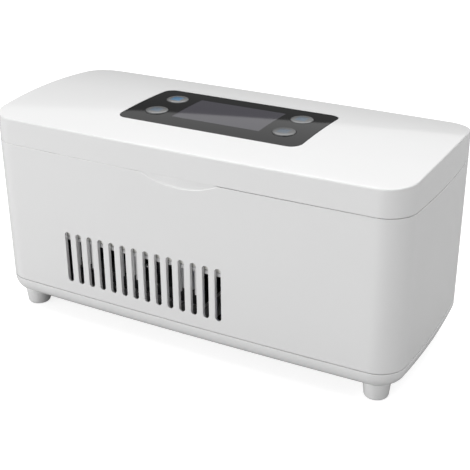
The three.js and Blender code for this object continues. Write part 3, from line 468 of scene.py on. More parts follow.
def settle(piece, finish, node, body="case", smooth=28):
    """Moves a piece into the frame, gives it its material, hangs it on the body it rides on, and hides the
    CAD part it stands for.
    """
    mesh = piece.data
    mesh.transform(Matrix.Scale(0.001, 4) @ Matrix.Translation((0, -hinge_overhang, foot_height)))
    mesh.materials.clear()
    mesh.materials.append(finish)
    mesh.polygons.foreach_set("material_index", [0] * len(mesh.polygons))
    mesh.shade_smooth()
    mesh.set_sharp_from_angle(angle=math.radians(smooth))
    modifier = piece.modifiers.new("flat_faces_stay_flat", "WEIGHTED_NORMAL")
    modifier.keep_sharp = True
    bake(piece)
    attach(piece, body)
    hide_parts(node)


corners = {"front_left": (-1, -1), "front_right": (1, -1), "rear_left": (-1, 1), "rear_right": (1, 1)}


def four_spots(x, y, shift=0):
    """Four spots named after the corners, at equal distances from the middle."""
    return {place: (shift + side_x * x, side_y * y) for place, (side_x, side_y) in corners.items()}


foot_end_inset = 13
foot_side_inset = 11.9
foot_spots = four_spots(case_length / 2 - foot_end_inset, case_depth / 2 - foot_side_inset)
spigot_hole_radius = 3.2
inside_wall = 2.7
tongue_thickness = 1.2
tongue_top = 10.5
tongue_inside = inside_wall + tongue_thickness
cooling_x = -27
edge = 0.3


def slot_cutter(name, width, length, face, levels, slope=0.0, sink=0.0):
    """A cutter for one slot below a face, through levels of growth and depth. Its end can sink inwards."""
    half = width / 2
    rings = []
    for growth, depth in levels:
        outline = round_rectangle(half + growth, length / 2 + growth, (half + growth) * 0.98, 8)
        rings.append([(x, y - sink * depth * (y < 0), face - depth + slope * y) for x, y in outline])
    return skin(name, rings)


base_levels = [(fillet_depth * (1 - sine), fillet_height * (1 - cosine)) for sine, cosine in arc(12)]
base_levels += [(0, base_height - edge), (edge * 0.3, base_height - edge * 0.3), (edge, base_height),
                (inside_wall, base_height), (inside_wall, tongue_top - edge),
                (inside_wall + edge, tongue_top), (tongue_inside - edge, tongue_top),
                (tongue_inside, tongue_top - edge)]
base_levels += [(tongue_inside + inner_fillet * (1 - cosine), wall + inner_fillet * (1 - sine))
                for sine, cosine in arc(6)]
base_tray = case_skin("base_moulding", base_levels)
grille_count = 9
grille_pitch = 6
grille_width = 3
grille_length = 44
grille_slot = slot_cutter("grille_slot", grille_width, grille_length, 0,
                          [(0, wall + 2), (0, 0.35), (1.05, -0.7)])
laid(grille_slot, (0, 0, 0), "Y", math.pi)
grille = row_of("grille", grille_slot, grille_count, grille_pitch,
                (cooling_x - grille_pitch * (grille_count - 1) / 2, 0, 0))
cut(base_tray, grille, *rods("spigot_hole", spigot_hole_radius, foot_spots.values(), -1, wall + 1))
settle(base_tray, white_gloss, "base_tray")


# Feet: four short tapered posts of the same white plastic, one under each corner. A spigot locates each
# one in the base tray, and a screw up its middle holds foot, tray and body together.
foot_edge = 1.2
foot_end_radius = 5.4
foot_profile = [(2.8, -foot_height)]
foot_profile += [(foot_end_radius - foot_edge + foot_edge * sine, foot_edge * (1 - cosine) - foot_height)
                 for sine, cosine in arc(5)]
foot_profile += [(6.1, -0.2), (5.95, 0), (2.9, 0), (2.9, 1.5), (2.6, 1.8), (1.6, 1.8), (1.6, -4), (2.8, -4)]
for place, spot in foot_spots.items():
    foot = turned("post_" + place, foot_profile, (*spot, 0), 56, closed=True)
    settle(foot, white_gloss, "foot_" + place)


# Screws: zinc-plated steel pan heads with a cross recess and a rolled thread, all of one thickness.
# They hold the feet, the cooling unit, the fan, the main board and the lid's liner.
def make_screw():
    """A tree for a screw that points up from its head, with its seat at the origin."""
    tree, given = new_geometry("pan_head_screw", {
        "Head Radius": "Float", "Head Height": "Float", "Shank Radius": "Float", "Length": "Float",
        "Thread Pitch": "Float", "Recess Width": "Float", "Finish": "Material"})
    height = given["Head Height"]
    position = add(tree, "GeometryNodeInputPosition")
    x, y, z = numbers(position)
    flat = add(tree, "ShaderNodeVectorMath", {0: position, 1: (1, 1, 0)}, operation="MULTIPLY")
    head = add(tree, "GeometryNodeMeshCylinder", {
        "Vertices": 32, "Side Segments": 6, "Radius": given["Head Radius"], "Depth": height})
    fall = calc("POWER", calc("ABSOLUTE", z / height), 4.0) * -0.28
    domed = bent(shifted(head, vector(z=height * -0.5)), scaled(flat, fall))
    bar_size = vector(given["Head Radius"] * 1.05, given["Recess Width"], height)
    bar = shifted(add(tree, "GeometryNodeMeshCube", {"Size": bar_size}), vector(z=height * -0.95))
    cross_bar = add(tree, "GeometryNodeTransform", {0: bar, "Rotation": (0, 0, quarter_turn)})
    recessed = add(tree, "GeometryNodeMeshBoolean", {"Mesh 1": domed, "Mesh 2": [bar, cross_bar]},
                   operation="DIFFERENCE", solver="MANIFOLD")
    root = height * 0.2
    full_length = given["Length"] + root
    shank = add(tree, "GeometryNodeMeshCylinder", {
        "Vertices": 20, "Side Segments": full_length / given["Thread Pitch"] * 6.0,
        "Radius": given["Shank Radius"], "Depth": full_length})
    wave = z / given["Thread Pitch"] - calc("ARCTAN2", y, x) / math.tau
    threaded = bent(shifted(shank, vector(z=full_length * 0.5 - root)),
                    scaled(flat, calc("PINGPONG", wave, 0.5) * -0.3))
    whole = add(tree, "GeometryNodeMeshBoolean", {"Mesh 2": [recessed, threaded]},
                operation="UNION", solver="MANIFOLD")
    return close_geometry(whole, given["Finish"])


screw_tree = make_screw()
plated_steel = grained("plated_steel", (0.55, 0.56, 0.58), 0.15, 300.0, 2500.0, 0.30, 0.15, 0.000002,
                       Metallic=1.0)
screw_nodes = sorted(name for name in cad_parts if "screw" in name)
for node in screw_nodes:
    low, high = [corner * 1000 + Vector((0, hinge_overhang, -foot_height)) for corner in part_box(node)]
    head_height = 1.4
    screw = grown(new_piece("threaded_" + node), screw_tree, {
        "Head Radius": 2.5, "Head Height": head_height, "Shank Radius": 1.3,
        "Length": high.z - low.z - head_height, "Thread Pitch": 1.0, "Recess Width": 0.65})
    middle = (low + high) / 2
    laid(screw, (middle.x, middle.y, low.z + head_height), angle=0)
    settle(screw, plated_steel, node, "lid" if node.startswith("lid") else "case", smooth=35)


# Body: the tall white ABS wall of the case, moulded with a slight taper. It holds the vent slots, the
# thumb scoop, the bosses that the feet screw into, a ledge for the deck and half of each hinge.
body_bottom = 8.3
body_top = 77.75
top_round = 0.25
body_levels = [(edge, body_bottom), (edge * 0.3, body_bottom + edge * 0.3), (0, body_bottom + edge)]
body_levels += quarter_round(0, body_top - top_round, top_round, 4)
body_levels += [(wall - edge, body_top), (wall, body_top - edge), (wall, body_bottom + edge),
                (wall - edge, body_bottom)]
body_shell = case_skin("body_moulding", body_levels, True)
ledge = case_skin("ledge", [(wall / 2, 73.5), (wall + 2, 73.5), (wall + 2, 72.5), (wall / 2, 72.5)], True)
boss_top = 34.2
rib_levels = [(0, 10.8), (0, boss_top)]
half_rib = 0.8
reach_x = (foot_end_inset - wall / 2 - end_bow) / 2
reach_y = (foot_side_inset - wall / 2 - side_bow - body_draft) / 2
bosses = []
for place, (side_x, side_y) in corners.items():
    x, y = foot_spots[place]
    bosses += [rod("boss", 3.6, (x, y), wall + 0.3, boss_top, 40),
               plate_skin("rib", reach_x, half_rib, 0.2, rib_levels, (x + side_x * reach_x, y)),
               plate_skin("rib", half_rib, reach_y, 0.2, rib_levels, (x, y + side_y * reach_y))]
join(body_shell, ledge, *bosses)

hinge_y = case_depth / 2
hinge_centres = (-55, 55)
knuckle_radius = 2.8
clearance = 0.3
notch_radius = 3.2
lid_knuckle_half = 6
body_knuckle_length = 7
knuckle_near = lid_knuckle_half + clearance
knuckle_far = knuckle_near + body_knuckle_length
knuckle_spans = {"lid": [(-lid_knuckle_half, lid_knuckle_half)],
                 "body": [(-knuckle_far, -knuckle_near), (knuckle_near, knuckle_far)],
                 "pin": [(-knuckle_far - clearance, knuckle_far + clearance)]}


def knuckles(kind, radius, margin=0.0, sides=48):
    """The knuckles of the lid or the body, widened by a margin, or the bores for the hinge pins."""
    spans = [(centre + start - margin, centre + end + margin)
             for centre in hinge_centres for start, end in knuckle_spans[kind]]
    return [laid(rod(kind + "_knuckle", radius, (0, 0), start, end, sides), (0, hinge_y, seam_height))
            for start, end in spans]


cut(body_shell, *knuckles("lid", notch_radius, clearance))
join(body_shell, *knuckles("body", knuckle_radius))

vent_count = 14
vent_pitch = 6.1
vent_width = 3.0
vent_bottom = 14.5
vent_top = 39.8
first_vent = -59.8
vent_middle = (vent_bottom + vent_top) / 2
vent_draft = body_draft * (1 - vent_middle / seam_height)
vent_levels = [(0.8, 5), (0.8, 2.4), (0, 1.8), (0, 0.12), (0.36, -0.24)]
vent_slot = slot_cutter("vent_slot", vent_width, vent_top - vent_bottom, hinge_y - vent_draft, vent_levels,
                        body_draft / seam_height, 0.5)
vents = row_of("vents", laid(vent_slot, (0, 0, vent_middle), "X"), vent_count, vent_pitch,
               (first_vent, 0, 0), side_bow)

scoop_centre = 1.5
scoop_half_width = 20.2
scoop_drop = 4.75
scoop_depth = 1.1
scoop_lip = 0.22
scoop_curve = (scoop_half_width ** 2 + scoop_drop ** 2) / (2 * scoop_drop)
scoop_away = (scoop_half_width ** 2 - scoop_depth ** 2) / (2 * scoop_depth)
scoop_ball = math.hypot(scoop_away, scoop_curve)
scoop_profile = [(radius, math.sqrt(scoop_ball ** 2 - radius ** 2) - scoop_away + scoop_lip)
                 for radius in (0, 6, 12, 17, 21, 25, 28, 31, 33, 35, 36.5, scoop_curve - 1.2,
                                scoop_curve - 0.8)]
scoop_profile += [(scoop_curve - 0.55, scoop_lip * 0.8), (scoop_curve - 0.15, scoop_lip * 0.2),
                  (scoop_curve + 0.15, 0), (scoop_curve + 1, -0.2), (scoop_curve + 2.5, -1.2), (0, -1.2)]
scoop = laid(turned("scoop", scoop_profile[::-1], sides=360),
             (scoop_centre, -hinge_y, seam_height + scoop_curve - scoop_drop), "X", -quarter_turn)

jack_x = 60
jack_height = 30.1
jack_hole = laid(turned("jack_hole", [(0, 0), (4, 0), (4, 6), (4.4, 6.4), (4.4, 9), (0, 9)], sides=48),
                 (jack_x, hinge_y - 7.8, jack_height), "X", -quarter_turn)
thread_hole = 1.6
pin_hole = 1.3
cut(body_shell, scoop, vents, jack_hole, *rods("hole", thread_hole, foot_spots.values(), wall, 13.4, 24),
    *knuckles("pin", pin_hole, sides=32))
settle(body_shell, white_gloss, "body_shell")


# Hinge pins: two ground steel pins with rounded ends. Each is pressed into the body's two knuckles and
# runs freely through the lid's knuckle between them.
pin_end = [(0.7, knuckle_far), (0.92, knuckle_far - 0.1), (1, knuckle_far - 0.3)]
pin_profile = [(0, -knuckle_far), *[(radius, -height) for radius, height in pin_end], *pin_end[::-1],
               (0, knuckle_far)]
for side, centre in zip(("left", "right"), hinge_centres):
    pin = laid(turned("pin_" + side, pin_profile, sides=28), (centre, hinge_y, seam_height))
    settle(pin, plated_steel, "hinge_pin_" + side)


# Battery cradle: a black moulded tray that stands on the base, with a trough for each of four cells,
# which are taped down in it.
def block(name, low, high, ease=0.3, segments=2):
    """A block between two corners, with its edges eased."""
    shape = bmesh.new()
    bmesh.ops.create_cube(shape, size=1)
    size = [end - start for start, end in zip(low, high)]
    bmesh.ops.scale(shape, verts=shape.verts, vec=size)
    bmesh.ops.translate(shape, verts=shape.verts, vec=[(a + b) / 2 for a, b in zip(low, high)])
    if ease:
        bmesh.ops.bevel(shape, geom=shape.edges, offset=ease, segments=segments, profile=0.5,
                        affect="EDGES")
    return solid(name, shape)


def slab(name, spot, half_x, half_y, low, high, ease=0.3, segments=2):
    """A block about a spot, between two heights."""
    x, y = spot
    return block(name, (x - half_x, y - half_y, low), (x + half_x, y + half_y, high), ease, segments)


black_satin = grained("black_plastic", (0.028, 0.028, 0.03), 0.25, 60.0, 1400.0, 0.45, 0.15, 0.00002)
battery_x = 49
cell_radius = 9.2
cell_height = 13.2
cell_ys = (-28.2, -9.4, 9.4, 28.2)
cradle = slab("cradle", (battery_x, 0), 36.4, 38.2, 2.7, 9.2)
cut(cradle, *[laid(rod("trough", cell_radius + 0.3, (0, 0), -34.4, 34.4, 96), (battery_x, y, cell_height))
              for y in cell_ys])
settle(cradle, black_satin, "battery_cradle")


# Battery: four lithium cells in blue shrink sleeves, side by side and facing each way in turn, with
# nickel strips spot-welded across their ends.
def mark_parts(piece, rule):
    """Numbers the faces of a piece by a rule on the middle of each face."""
    marks = [float(rule(*face.center)) for face in piece.data.polygons]
    piece.data.attributes.new("part", "FLOAT", "FACE").data.foreach_set("value", marks)


def parted(name, colours, *grain):
    """A grained material with a colour for each numbered part, whose fourth value makes it metal."""
    finish = grained(name, (1, 1, 1), *grain)
    tree = finish.node_tree
    number = add(tree, "ShaderNodeAttribute", out="Fac", attribute_name="part")
    tint = add(tree, "ShaderNodeValToRGB", {"Fac": number / float(len(colours))}, "Color")
    stops = tint.socket.node.color_ramp
    stops.interpolation = "CONSTANT"
    stops.elements.remove(stops.elements[1])
    for index, colour in enumerate(colours):
        stop = stops.elements[0] if index == 0 else stops.elements.new((index - 0.5) / len(colours))
        stop.color = colour
    feed(tree.nodes["Group"], {"Colour": tint})
    feed(tree.nodes["Principled BSDF"], {"Metallic": tint.other("Alpha")})
    return finish


sleeve = parted("cell_sleeve", [(0.035, 0.12, 0.40, 0), (0.62, 0.61, 0.58, 1)], 0.08, 80.0, 900.0, 0.28, 0.1,
                0.000004)
cell_profile = [(0, -32.3), (7.6, -32.3), (7.7, -32.5), (8.8, -32.5), (9.08, -32.38), (9.2, -32.1),
                (9.2, 29.4), (9.1, 29.8), (8.95, 30.2), (8.95, 30.7), (9.1, 31.1), (9.2, 31.4), (9.2, 32.1),
                (9.08, 32.38), (8.8, 32.5), (6.2, 32.5), (6.1, 32.3), (3.2, 32.3), (3.0, 32.5),
                (3.0, 33.25), (2.8, 33.5), (0, 33.5)]
for number, y in enumerate(cell_ys):
    cell = laid(turned("cell_can_" + str(number + 1), cell_profile), (0, 0, 0), "X", math.pi * (number % 2))
    laid(cell, (battery_x, y, cell_height))
    mark_parts(cell, lambda x, across, z, y=y: (
        abs(x - battery_x) > 32 and math.hypot(across - y, z - cell_height) < 7))
    settle(cell, sleeve, "battery_cell_" + str(number + 1))
for side, x in (("left", -33.95), ("right", 33.95)):
    strip = slab("strip_" + side, (battery_x + x, 0), 0.15, 32.2, 9.2, 17.2, 0.1, 1)
    settle(strip, plated_steel, "battery_strip_" + side)


# Fan: a black 60 mm axial fan. Its square frame has a stator on four struts, and its rotor is a cap
# with seven twisted blades, which turns on a steel-tipped shaft in the stator.
fan_spot = (cooling_x, 0)
fan_bottom = 10.1
fan_top = 20.1
fan_half = 30
fan_bore = 28.6
hub_radius = 12.5
screw_reach = 25
strut_top = fan_bottom + 1.5
past_bottom = fan_bottom - 1
past_top = fan_top + 1
fan_frame = plate_skin("fan_housing", fan_half, fan_half, 3,
                       [(-0.3, fan_bottom), (-0.09, fan_bottom + 0.09), (0, fan_bottom + 0.3),
                        (0, fan_top - 0.3), (-0.09, fan_top - 0.09), (-0.3, fan_top)], fan_spot)
bore_profile = [(0, past_bottom), (fan_bore + 1.3, past_bottom), (fan_bore + 0.8, fan_bottom),
                (fan_bore, fan_bottom + 1.2), (fan_bore, fan_top - 1.2), (fan_bore + 0.8, fan_top),
                (fan_bore + 1.3, past_top), (0, past_top)]
cut(fan_frame, turned("fan_bore", bore_profile, (*fan_spot, 0), 128))
strut_reach = (fan_half + fan_bore) / 2
join(fan_frame, rod("hub_plate", hub_radius, fan_spot, fan_bottom, strut_top),
     rod("stator_core", 8.5, fan_spot, fan_bottom + 0.1, strut_top + 5),
     *[slab("strut", fan_spot, half_x, half_y, fan_bottom + 0.02, strut_top, 0.35)
       for half_x, half_y in ((strut_reach, 1.5), (1.5, strut_reach))])
cut(fan_frame, *rods("fan_hole", 1.9, four_spots(screw_reach, screw_reach, cooling_x).values(),
                     past_bottom, past_top, 32),
    rod("bearing", 1.8, fan_spot, fan_bottom + 0.75, past_top, 32))
settle(fan_frame, black_satin, "fan_frame")


def make_blades():
    """A tree that sets twisted and cambered blades round an upright axis."""
    tree, given = new_geometry("fan_blades", {
        "Count": "Int", "Root": "Float", "Tip": "Float", "Chord": "Float", "Thickness": "Float",
        "Pitch": "Float", "Twist": "Float", "Camber": "Float", "Finish": "Material"})
    span = given["Tip"] - given["Root"]
    size = vector(span, given["Chord"], given["Thickness"])
    slab_shape = add(tree, "GeometryNodeMeshCube", {"Size": size, "Vertices X": 9, "Vertices Y": 11})
    position = add(tree, "GeometryNodeInputPosition")
    x, y, z = numbers(position)
    across = y / (given["Chord"] * 0.5)
    square = across * across
    curved = bent(slab_shape, vector(z=square * -0.6 * z + (1.0 - square) * given["Camber"]))
    twisted_spot = add(tree, "ShaderNodeVectorRotate", {
        "Vector": position, "Angle": given["Pitch"] - x / span * given["Twist"]}, rotation_type="X_AXIS")
    twisted = add(tree, "GeometryNodeSetPosition", {"Geometry": curved, "Position": twisted_spot})
    blade = shifted(twisted, vector((given["Tip"] + given["Root"]) * 0.5))
    spots = add(tree, "GeometryNodeMeshLine", {"Count": given["Count"], "Offset": (0, 0, 0)})
    turn = add(tree, "GeometryNodeInputIndex") / given["Count"] * math.tau
    ring = add(tree, "GeometryNodeInstanceOnPoints", {
        "Points": spots, "Instance": blade, "Rotation": vector(z=turn)})
    return close_geometry(ring, given["Finish"])


cap_bottom = strut_top + 0.6
cap_top = fan_top - 0.6
cap_inside = hub_radius - 1.2
cap_ceiling = cap_top - 1.2
blades = grown(new_piece("blades"), make_blades(), {
    "Count": 7, "Root": hub_radius - 0.6, "Tip": fan_bore + 1, "Chord": 10.0, "Thickness": 1.2,
    "Pitch": math.radians(40), "Twist": math.radians(14), "Camber": 0.9})
laid(blades, (0, 0, (cap_top + cap_bottom) / 2), angle=0)
cut(blades, rod("blade_room", 27.7, (0, 0), cap_bottom, cap_top, 128), operation="INTERSECT")
rotor_cap = turned("rotor_cap", [
    (0, fan_bottom + 1.05), (1.3, fan_bottom + 1.05), (1.5, fan_bottom + 1.25), (1.5, cap_ceiling),
    (cap_inside, cap_ceiling), (cap_inside, cap_bottom), (hub_radius, cap_bottom),
    (hub_radius, cap_top - 0.8), (hub_radius - 0.23, cap_top - 0.23), (hub_radius - 0.8, cap_top),
    (3, cap_top), (2.8, cap_top - 0.15), (0, cap_top - 0.15)])
join(rotor_cap, blades)
settle(laid(rotor_cap, (*fan_spot, 0), angle=0), black_satin, "fan_rotor", "fan_rotor", smooth=40)


# Fan bracket: a black moulded plate with a round opening, screwed under the carrier's posts. It holds
# the fan, by two screws, under the sink.
hanger_y = 37.2
hanger_xs = (-54.5, -29.8, 0.5)
bracket_screws = [(hanger_xs[0], -hanger_y), (hanger_xs[2], hanger_y)]
fan_screws = [(cooling_x - screw_reach, screw_reach), (cooling_x + screw_reach, -screw_reach)]
bracket = slab("bracket", fan_spot, 33.9, 40.2, 20.4, 22.4)
cut(bracket, rod("bracket_bore", fan_bore, fan_spot, 19, 24, 128),
    *rods("bracket_hole", thread_hole, [*bracket_screws, *fan_screws], 19, 24, 32))
settle(bracket, black_satin, "fan_bracket")


# Heat sink: an extruded aluminium sink, anodised black, whose twelve fins hang into the fan's draught.
# Two long screws pull it and the element up against the cold block.
sink_black = grained("sink_black", (0.045, 0.045, 0.05), 0.15, 50.0, 1800.0, 0.42, 0.12, 0.000004,
                     Metallic=0.8)
fin_bottom = 22.7
sink_bottom = 35.1
sink_top = 39.1
sink_half_x = 30
sink_half_y = 32
fin_width = 1.2
fin_pitch = (sink_half_x * 2 - fin_width) / 11
sink_screws = [(cooling_x - screw_reach, 0), (cooling_x + screw_reach, 0)]
sink = slab("sink_base", fan_spot, sink_half_x, sink_half_y, sink_bottom, sink_top, 0.25)
fin = block("fin", (0, -sink_half_y, fin_bottom), (fin_width, sink_half_y, sink_bottom + 2))
join(sink, row_of("fins", fin, 12, fin_pitch, (cooling_x - sink_half_x, 0, 0)))
cut(sink, *rods("head_room", 3.1, sink_screws, fin_bottom - 2, sink_bottom, 40),
    *rods("sink_hole", thread_hole, sink_screws, fin_bottom - 2, sink_top + 1, 24))
settle(sink, sink_black, "heat_sink")


# Thermoelectric element: two alumina plates with rows of small tin-soldered pellets between them,
# clamped between the cold block and the sink.
ceramic = parted("ceramic", [(0.78, 0.77, 0.73, 0), (0.30, 0.30, 0.31, 1)], 0.05, 60.0, 1500.0, 0.55, 0.12,
                 0.000004)
hot_side = 39.4
cold_side = 43.2
plate_thickness = 0.8
pellet_count = 12
pellet_pitch = 3.15
pellet_first = (pellet_count - 1) * pellet_pitch / 2
pellet = slab("pellet", (0, 0), 0.7, 0.7, hot_side + 0.7, cold_side - 0.7, 0)
pellet_row = row_of("pellet_row", pellet, pellet_count, pellet_pitch, (-pellet_first, 0, 0))
laid(pellet_row, (0, 0, 0), "Z")
pellets = row_of("pellets", pellet_row, pellet_count, pellet_pitch, (cooling_x - pellet_first, 0, 0))
element = slab("cold_plate", fan_spot, 20, 20, cold_side - plate_thickness, cold_side, 0.12, 1)
join(element, pellets, slab("hot_plate", fan_spot, 20, 20, hot_side, hot_side + plate_thickness, 0.12, 1))
mark_parts(element, lambda x, y, z: (
    hot_side + plate_thickness + 0.05 < z < cold_side - plate_thickness - 0.05))
settle(element, ceramic, "peltier_module")


# Leads: two silicone-covered wires, red and black, soldered to the element. They run down through the
# carrier to the plug on the main board.
def wire(name, points, radius):
    """A round wire that runs smoothly through points."""
    line = bpy.data.curves.new(name, "CURVE")
    line.dimensions = "3D"
    line.bevel_depth = radius
    line.bevel_resolution = 4
    line.resolution_u = 10
    line.use_fill_caps = True
    path = line.splines.new("BEZIER")
    path.bezier_points.add(len(points) - 1)
    for knot, point in zip(path.bezier_points, points):
        knot.co = point
        knot.handle_left_type = "AUTO"
        knot.handle_right_type = "AUTO"
    holder = bpy.data.objects.new(name, line)
    scene.collection.objects.link(holder)
    graph = bpy.context.evaluated_depsgraph_get()
    shape = bmesh.new()
    shape.from_mesh(bpy.data.meshes.new_from_object(holder.evaluated_get(graph)))
    bpy.data.objects.remove(holder)
    bpy.data.curves.remove(line)
    bmesh.ops.remove_doubles(shape, verts=shape.verts, dist=0.001)
    bmesh.ops.recalc_face_normals(shape, faces=shape.faces)
    return solid(name, shape)


for colour, tint, y in (("red", (0.55, 0.02, 0.015), -5), ("black", (0.02, 0.02, 0.02), 5)):
    insulation = grained("lead_" + colour, tint, 0.1, 200.0, 2000.0, 0.42, 0.1, 0.000002)
    route = [(-6.7, y, 41.3), (1.2, y, 41.3), (9.0, y, 35.5), (13.1, y, 32.1), (17.2, y, 30.5)]
    settle(wire(colour + "_wire", route, 0.78), insulation, "peltier_lead_" + colour)


# Main board: the green control and charging board, hung under the carrier over the battery, with its
# controller, choke, two capacitors and the plug for the leads on top.
board_bottom = 24.3
board_top = 25.9
board_root = board_top - 0.3
board_xs = (19, 79)
board_y = 28
board_screws = [(board_xs[0], -board_y), (board_xs[1], board_y)]
choke_x = 69
main_board = block("main_panel", (14, -33, board_bottom), (84, 39.5, board_top), 0.15, 1)
controller_half = 6.6
board_parts = [slab("controller", (battery_x, 0), controller_half, controller_half, board_root,
                    board_top + 2.2, 0.25)]
leg_count = 9
leg_pitch = 1.4
for y in (-controller_half - 0.5, controller_half + 0.5):
    leg = slab("leg", (0, y), 0.3, 0.8, board_root, board_top + 0.9, 0.1, 1)
    board_parts.append(row_of("legs", leg, leg_count, leg_pitch,
                              (battery_x - leg_pitch * (leg_count - 1) / 2, 0, 0)))
choke_radius = 5
can_radius = 3.2
choke_profile = [(0, -0.3), (choke_radius, -0.3), (choke_radius, 0.9), (4.2, 1.1), (4.2, 3.9),
                 (choke_radius, 4.1), (choke_radius, 4.9), (4.8, 5), (0, 5)]
board_parts.append(turned("choke", choke_profile, (choke_x, 0, board_top), 48))
can_profile = [(0, -0.3), (can_radius, -0.3), (can_radius, 0.5), (3.0, 0.8), (can_radius, 1.1),
               (can_radius, 6.1), (2.9, 6.4), (2.7, 6.3), (0, 6.3)]
board_parts += [turned("capacitor", can_profile, (choke_x, y, board_top), 40) for y in (-15, 15)]
board_parts.append(block("lead_plug", (16.4, -10, board_root), (21.2, 10, board_top + 2.9)))
join(main_board, *board_parts)
cut(main_board, *rods("board_hole", thread_hole, board_screws, board_bottom - 1, board_top + 1, 32))


laminate, black_resin, tin, copper, nylon, can_sleeve = range(6)
board_colours = [(0.02, 0.13, 0.05, 0), (0.02, 0.02, 0.022, 0), (0.68, 0.68, 0.66, 1), (0.65, 0.26, 0.10, 1),
                 (0.70, 0.68, 0.62, 0), (0.03, 0.035, 0.10, 0)]


def main_board_part(x, y, z):
    """What the part is made of that a place on the main board belongs to."""
    if z < board_top + 0.02:
        return laminate
    if abs(x - battery_x) < 7:
        return black_resin if abs(y) < controller_half + 0.01 else tin
    if math.hypot(x - choke_x, y) < choke_radius + 0.1:
        return copper if board_top + 1.2 < z < board_top + 3.8 else black_resin
    if abs(x - choke_x) < can_radius + 0.1:
        return tin if z > board_top + 6.2 else can_sleeve
    return nylon


circuit_board = parted("circuit_board", board_colours, 0.15, 120.0, 2200.0, 0.36, 0.12, 0.000004)
mark_parts(main_board, main_board_part)
settle(main_board, circuit_board, "main_board")


# Power inlet: a black barrel socket with a plated centre pin, soldered to the board. Its nose reaches
# through the rear wall.
def barrel(name, profile, sides=56):
    """A part of the power inlet, turned about its barrel from the face of the socket."""
    return laid(turned(name, profile, sides=sides), (jack_x, socket_face, jack_height), "X", -quarter_turn)


socket_face = 41.23
socket = block("socket", (jack_x - 4.5, socket_face - 13, 26.2), (jack_x + 4.5, socket_face, 34), 0.4)
join(socket, barrel("nose", [(0, -1.6), (3.7, -1.6), (3.7, 1.3), (3.4, 1.6), (0, 1.6)]))
cut(socket, barrel("bore", [(0, -7.4), (2.8, -7.4), (2.8, 1.3), (3.2, 1.7), (3.2, 3), (0, 3)]))
join(socket, barrel("centre_pin", [(0, -9), (1, -9), (1, -0.5), (0.86, -0.15), (0.5, 0), (0, 0)], 28))
socket_finish = parted("socket_plastic", [(0.025, 0.025, 0.027, 0), (0.68, 0.66, 0.60, 1)], 0.2, 80.0,
                       1500.0, 0.40, 0.1, 0.00001)
mark_parts(socket, lambda x, y, z: (
    y > socket_face - 7.35 and math.hypot(x - jack_x, z - jack_height) < 1.05))
settle(socket, socket_finish, "dc_jack")


# Carrier: a moulded satin white plate that lies on the body's bosses, with round posts that hang down to
# the fan bracket and the main board. Its underside and the twin ribs of its front posts show through
# the vent slots.
white_satin = grained("white_satin_abs", (0.76, 0.76, 0.765), 0.03, 30.0, 1200.0, 0.42, 0.12, 0.00001)
carrier_bottom = 34.5
carrier_top = 36.5
hanger_bottom = 22.7
post_top = carrier_bottom + 0.5
carrier = case_skin("carrier_plate", [
    (inside_wall + edge, carrier_bottom), (inside_wall, carrier_bottom + edge),
    (inside_wall, carrier_top - edge), (inside_wall + edge, carrier_top)])
post_ends = [(x, y, hanger_bottom) for x in hanger_xs for y in (-hanger_y, hanger_y)]
post_ends += [(x, y, board_top + 0.3) for x in board_xs for y in (-board_y, board_y)]
join(carrier, *[turned("post", [(0, low), (2.8, low), (3, low + 0.2), (3, post_top), (0, post_top)],
                       (x, y, 0), 40) for x, y, low in post_ends])
cut(carrier, *[block("flat", (x - 3.5, -41, 22), (x + 3.5, -38.9, carrier_bottom - 0.5), 0)
               for x in hanger_xs])
rib_middles = (-52.1, -27.8, 2.9)
rib_gap = 6.8
rib_thickness = 1.6
rib_starts = [middle + start for middle in rib_middles
              for start in (-rib_gap / 2 - rib_thickness, rib_gap / 2)]
join(carrier, *[block("rib", (x, -42.3, hanger_bottom), (x + rib_thickness, -41.4, post_top), 0.2)
                for x in rib_starts])
cut(carrier, slab("sink_window", fan_spot, sink_half_x + 0.6, sink_half_y + 0.6, 30, 40, 0),
    slab("lead_slot", (9, 0), 2.4, 7.4, 30, 40, 0),
    *rods("post_hole", thread_hole, bracket_screws, 20, 28.7, 24),
    *rods("post_hole", thread_hole, board_screws, 20, 32.2, 24))
settle(carrier, white_satin, "carrier_frame")


# Cold block: a sawn block of aluminium that joins the chamber's floor to the element's cold side, with
# two tapped holes for the sink's screws.
aluminium = grained("aluminium", (0.70, 0.71, 0.72), 0.08, 40.0, 2600.0, 0.30, 0.20, 0.000003,
                    stretch=(0.03, 1, 1), Metallic=1.0)
block_half_x = 29
block_half_y = 21
block_bottom = 43.5
block_top = 52.5
cold_block = slab("spreader", fan_spot, block_half_x, block_half_y, block_bottom, block_top, 0.5)
cut(cold_block, *rods("block_hole", thread_hole, sink_screws, block_bottom - 1.5, 49.8, 24))
settle(cold_block, aluminium, "cold_block")


# Insulation: a block of cut closed-cell foam that fills the body round the chamber, with room beneath
# for the cold block, the sink and the leads.
foam = grained("foam", (0.74, 0.735, 0.70), 0.12, 60.0, 900.0, 0.85, 0.1, 0.00003)
foam_nodes = foam.node_tree.nodes
cells = add(foam.node_tree, "ShaderNodeTexVoronoi", {
    "Vector": Value(foam_nodes["Texture Coordinate"].outputs["Object"]), "Scale": 900.0}, "Distance")
cell_bump = add(foam.node_tree, "ShaderNodeBump", {
    "Strength": 0.7, "Distance": 0.0003, "Height": cells,
    "Normal": Value(foam_nodes["Bump"].outputs["Normal"])})
feed(foam_nodes["Principled BSDF"], {"Normal": cell_bump})
chamber_half_x = 86
chamber_half_y = 30
chamber_corner = 7
sensor_x = -chamber_half_x - 1.8
foam_bottom = carrier_top + 0.3
foam_top = 72.2
past_foam = foam_bottom - 6.8
foam_block = case_skin("foam_surround", [(inside_wall, foam_bottom), (inside_wall, foam_top)])
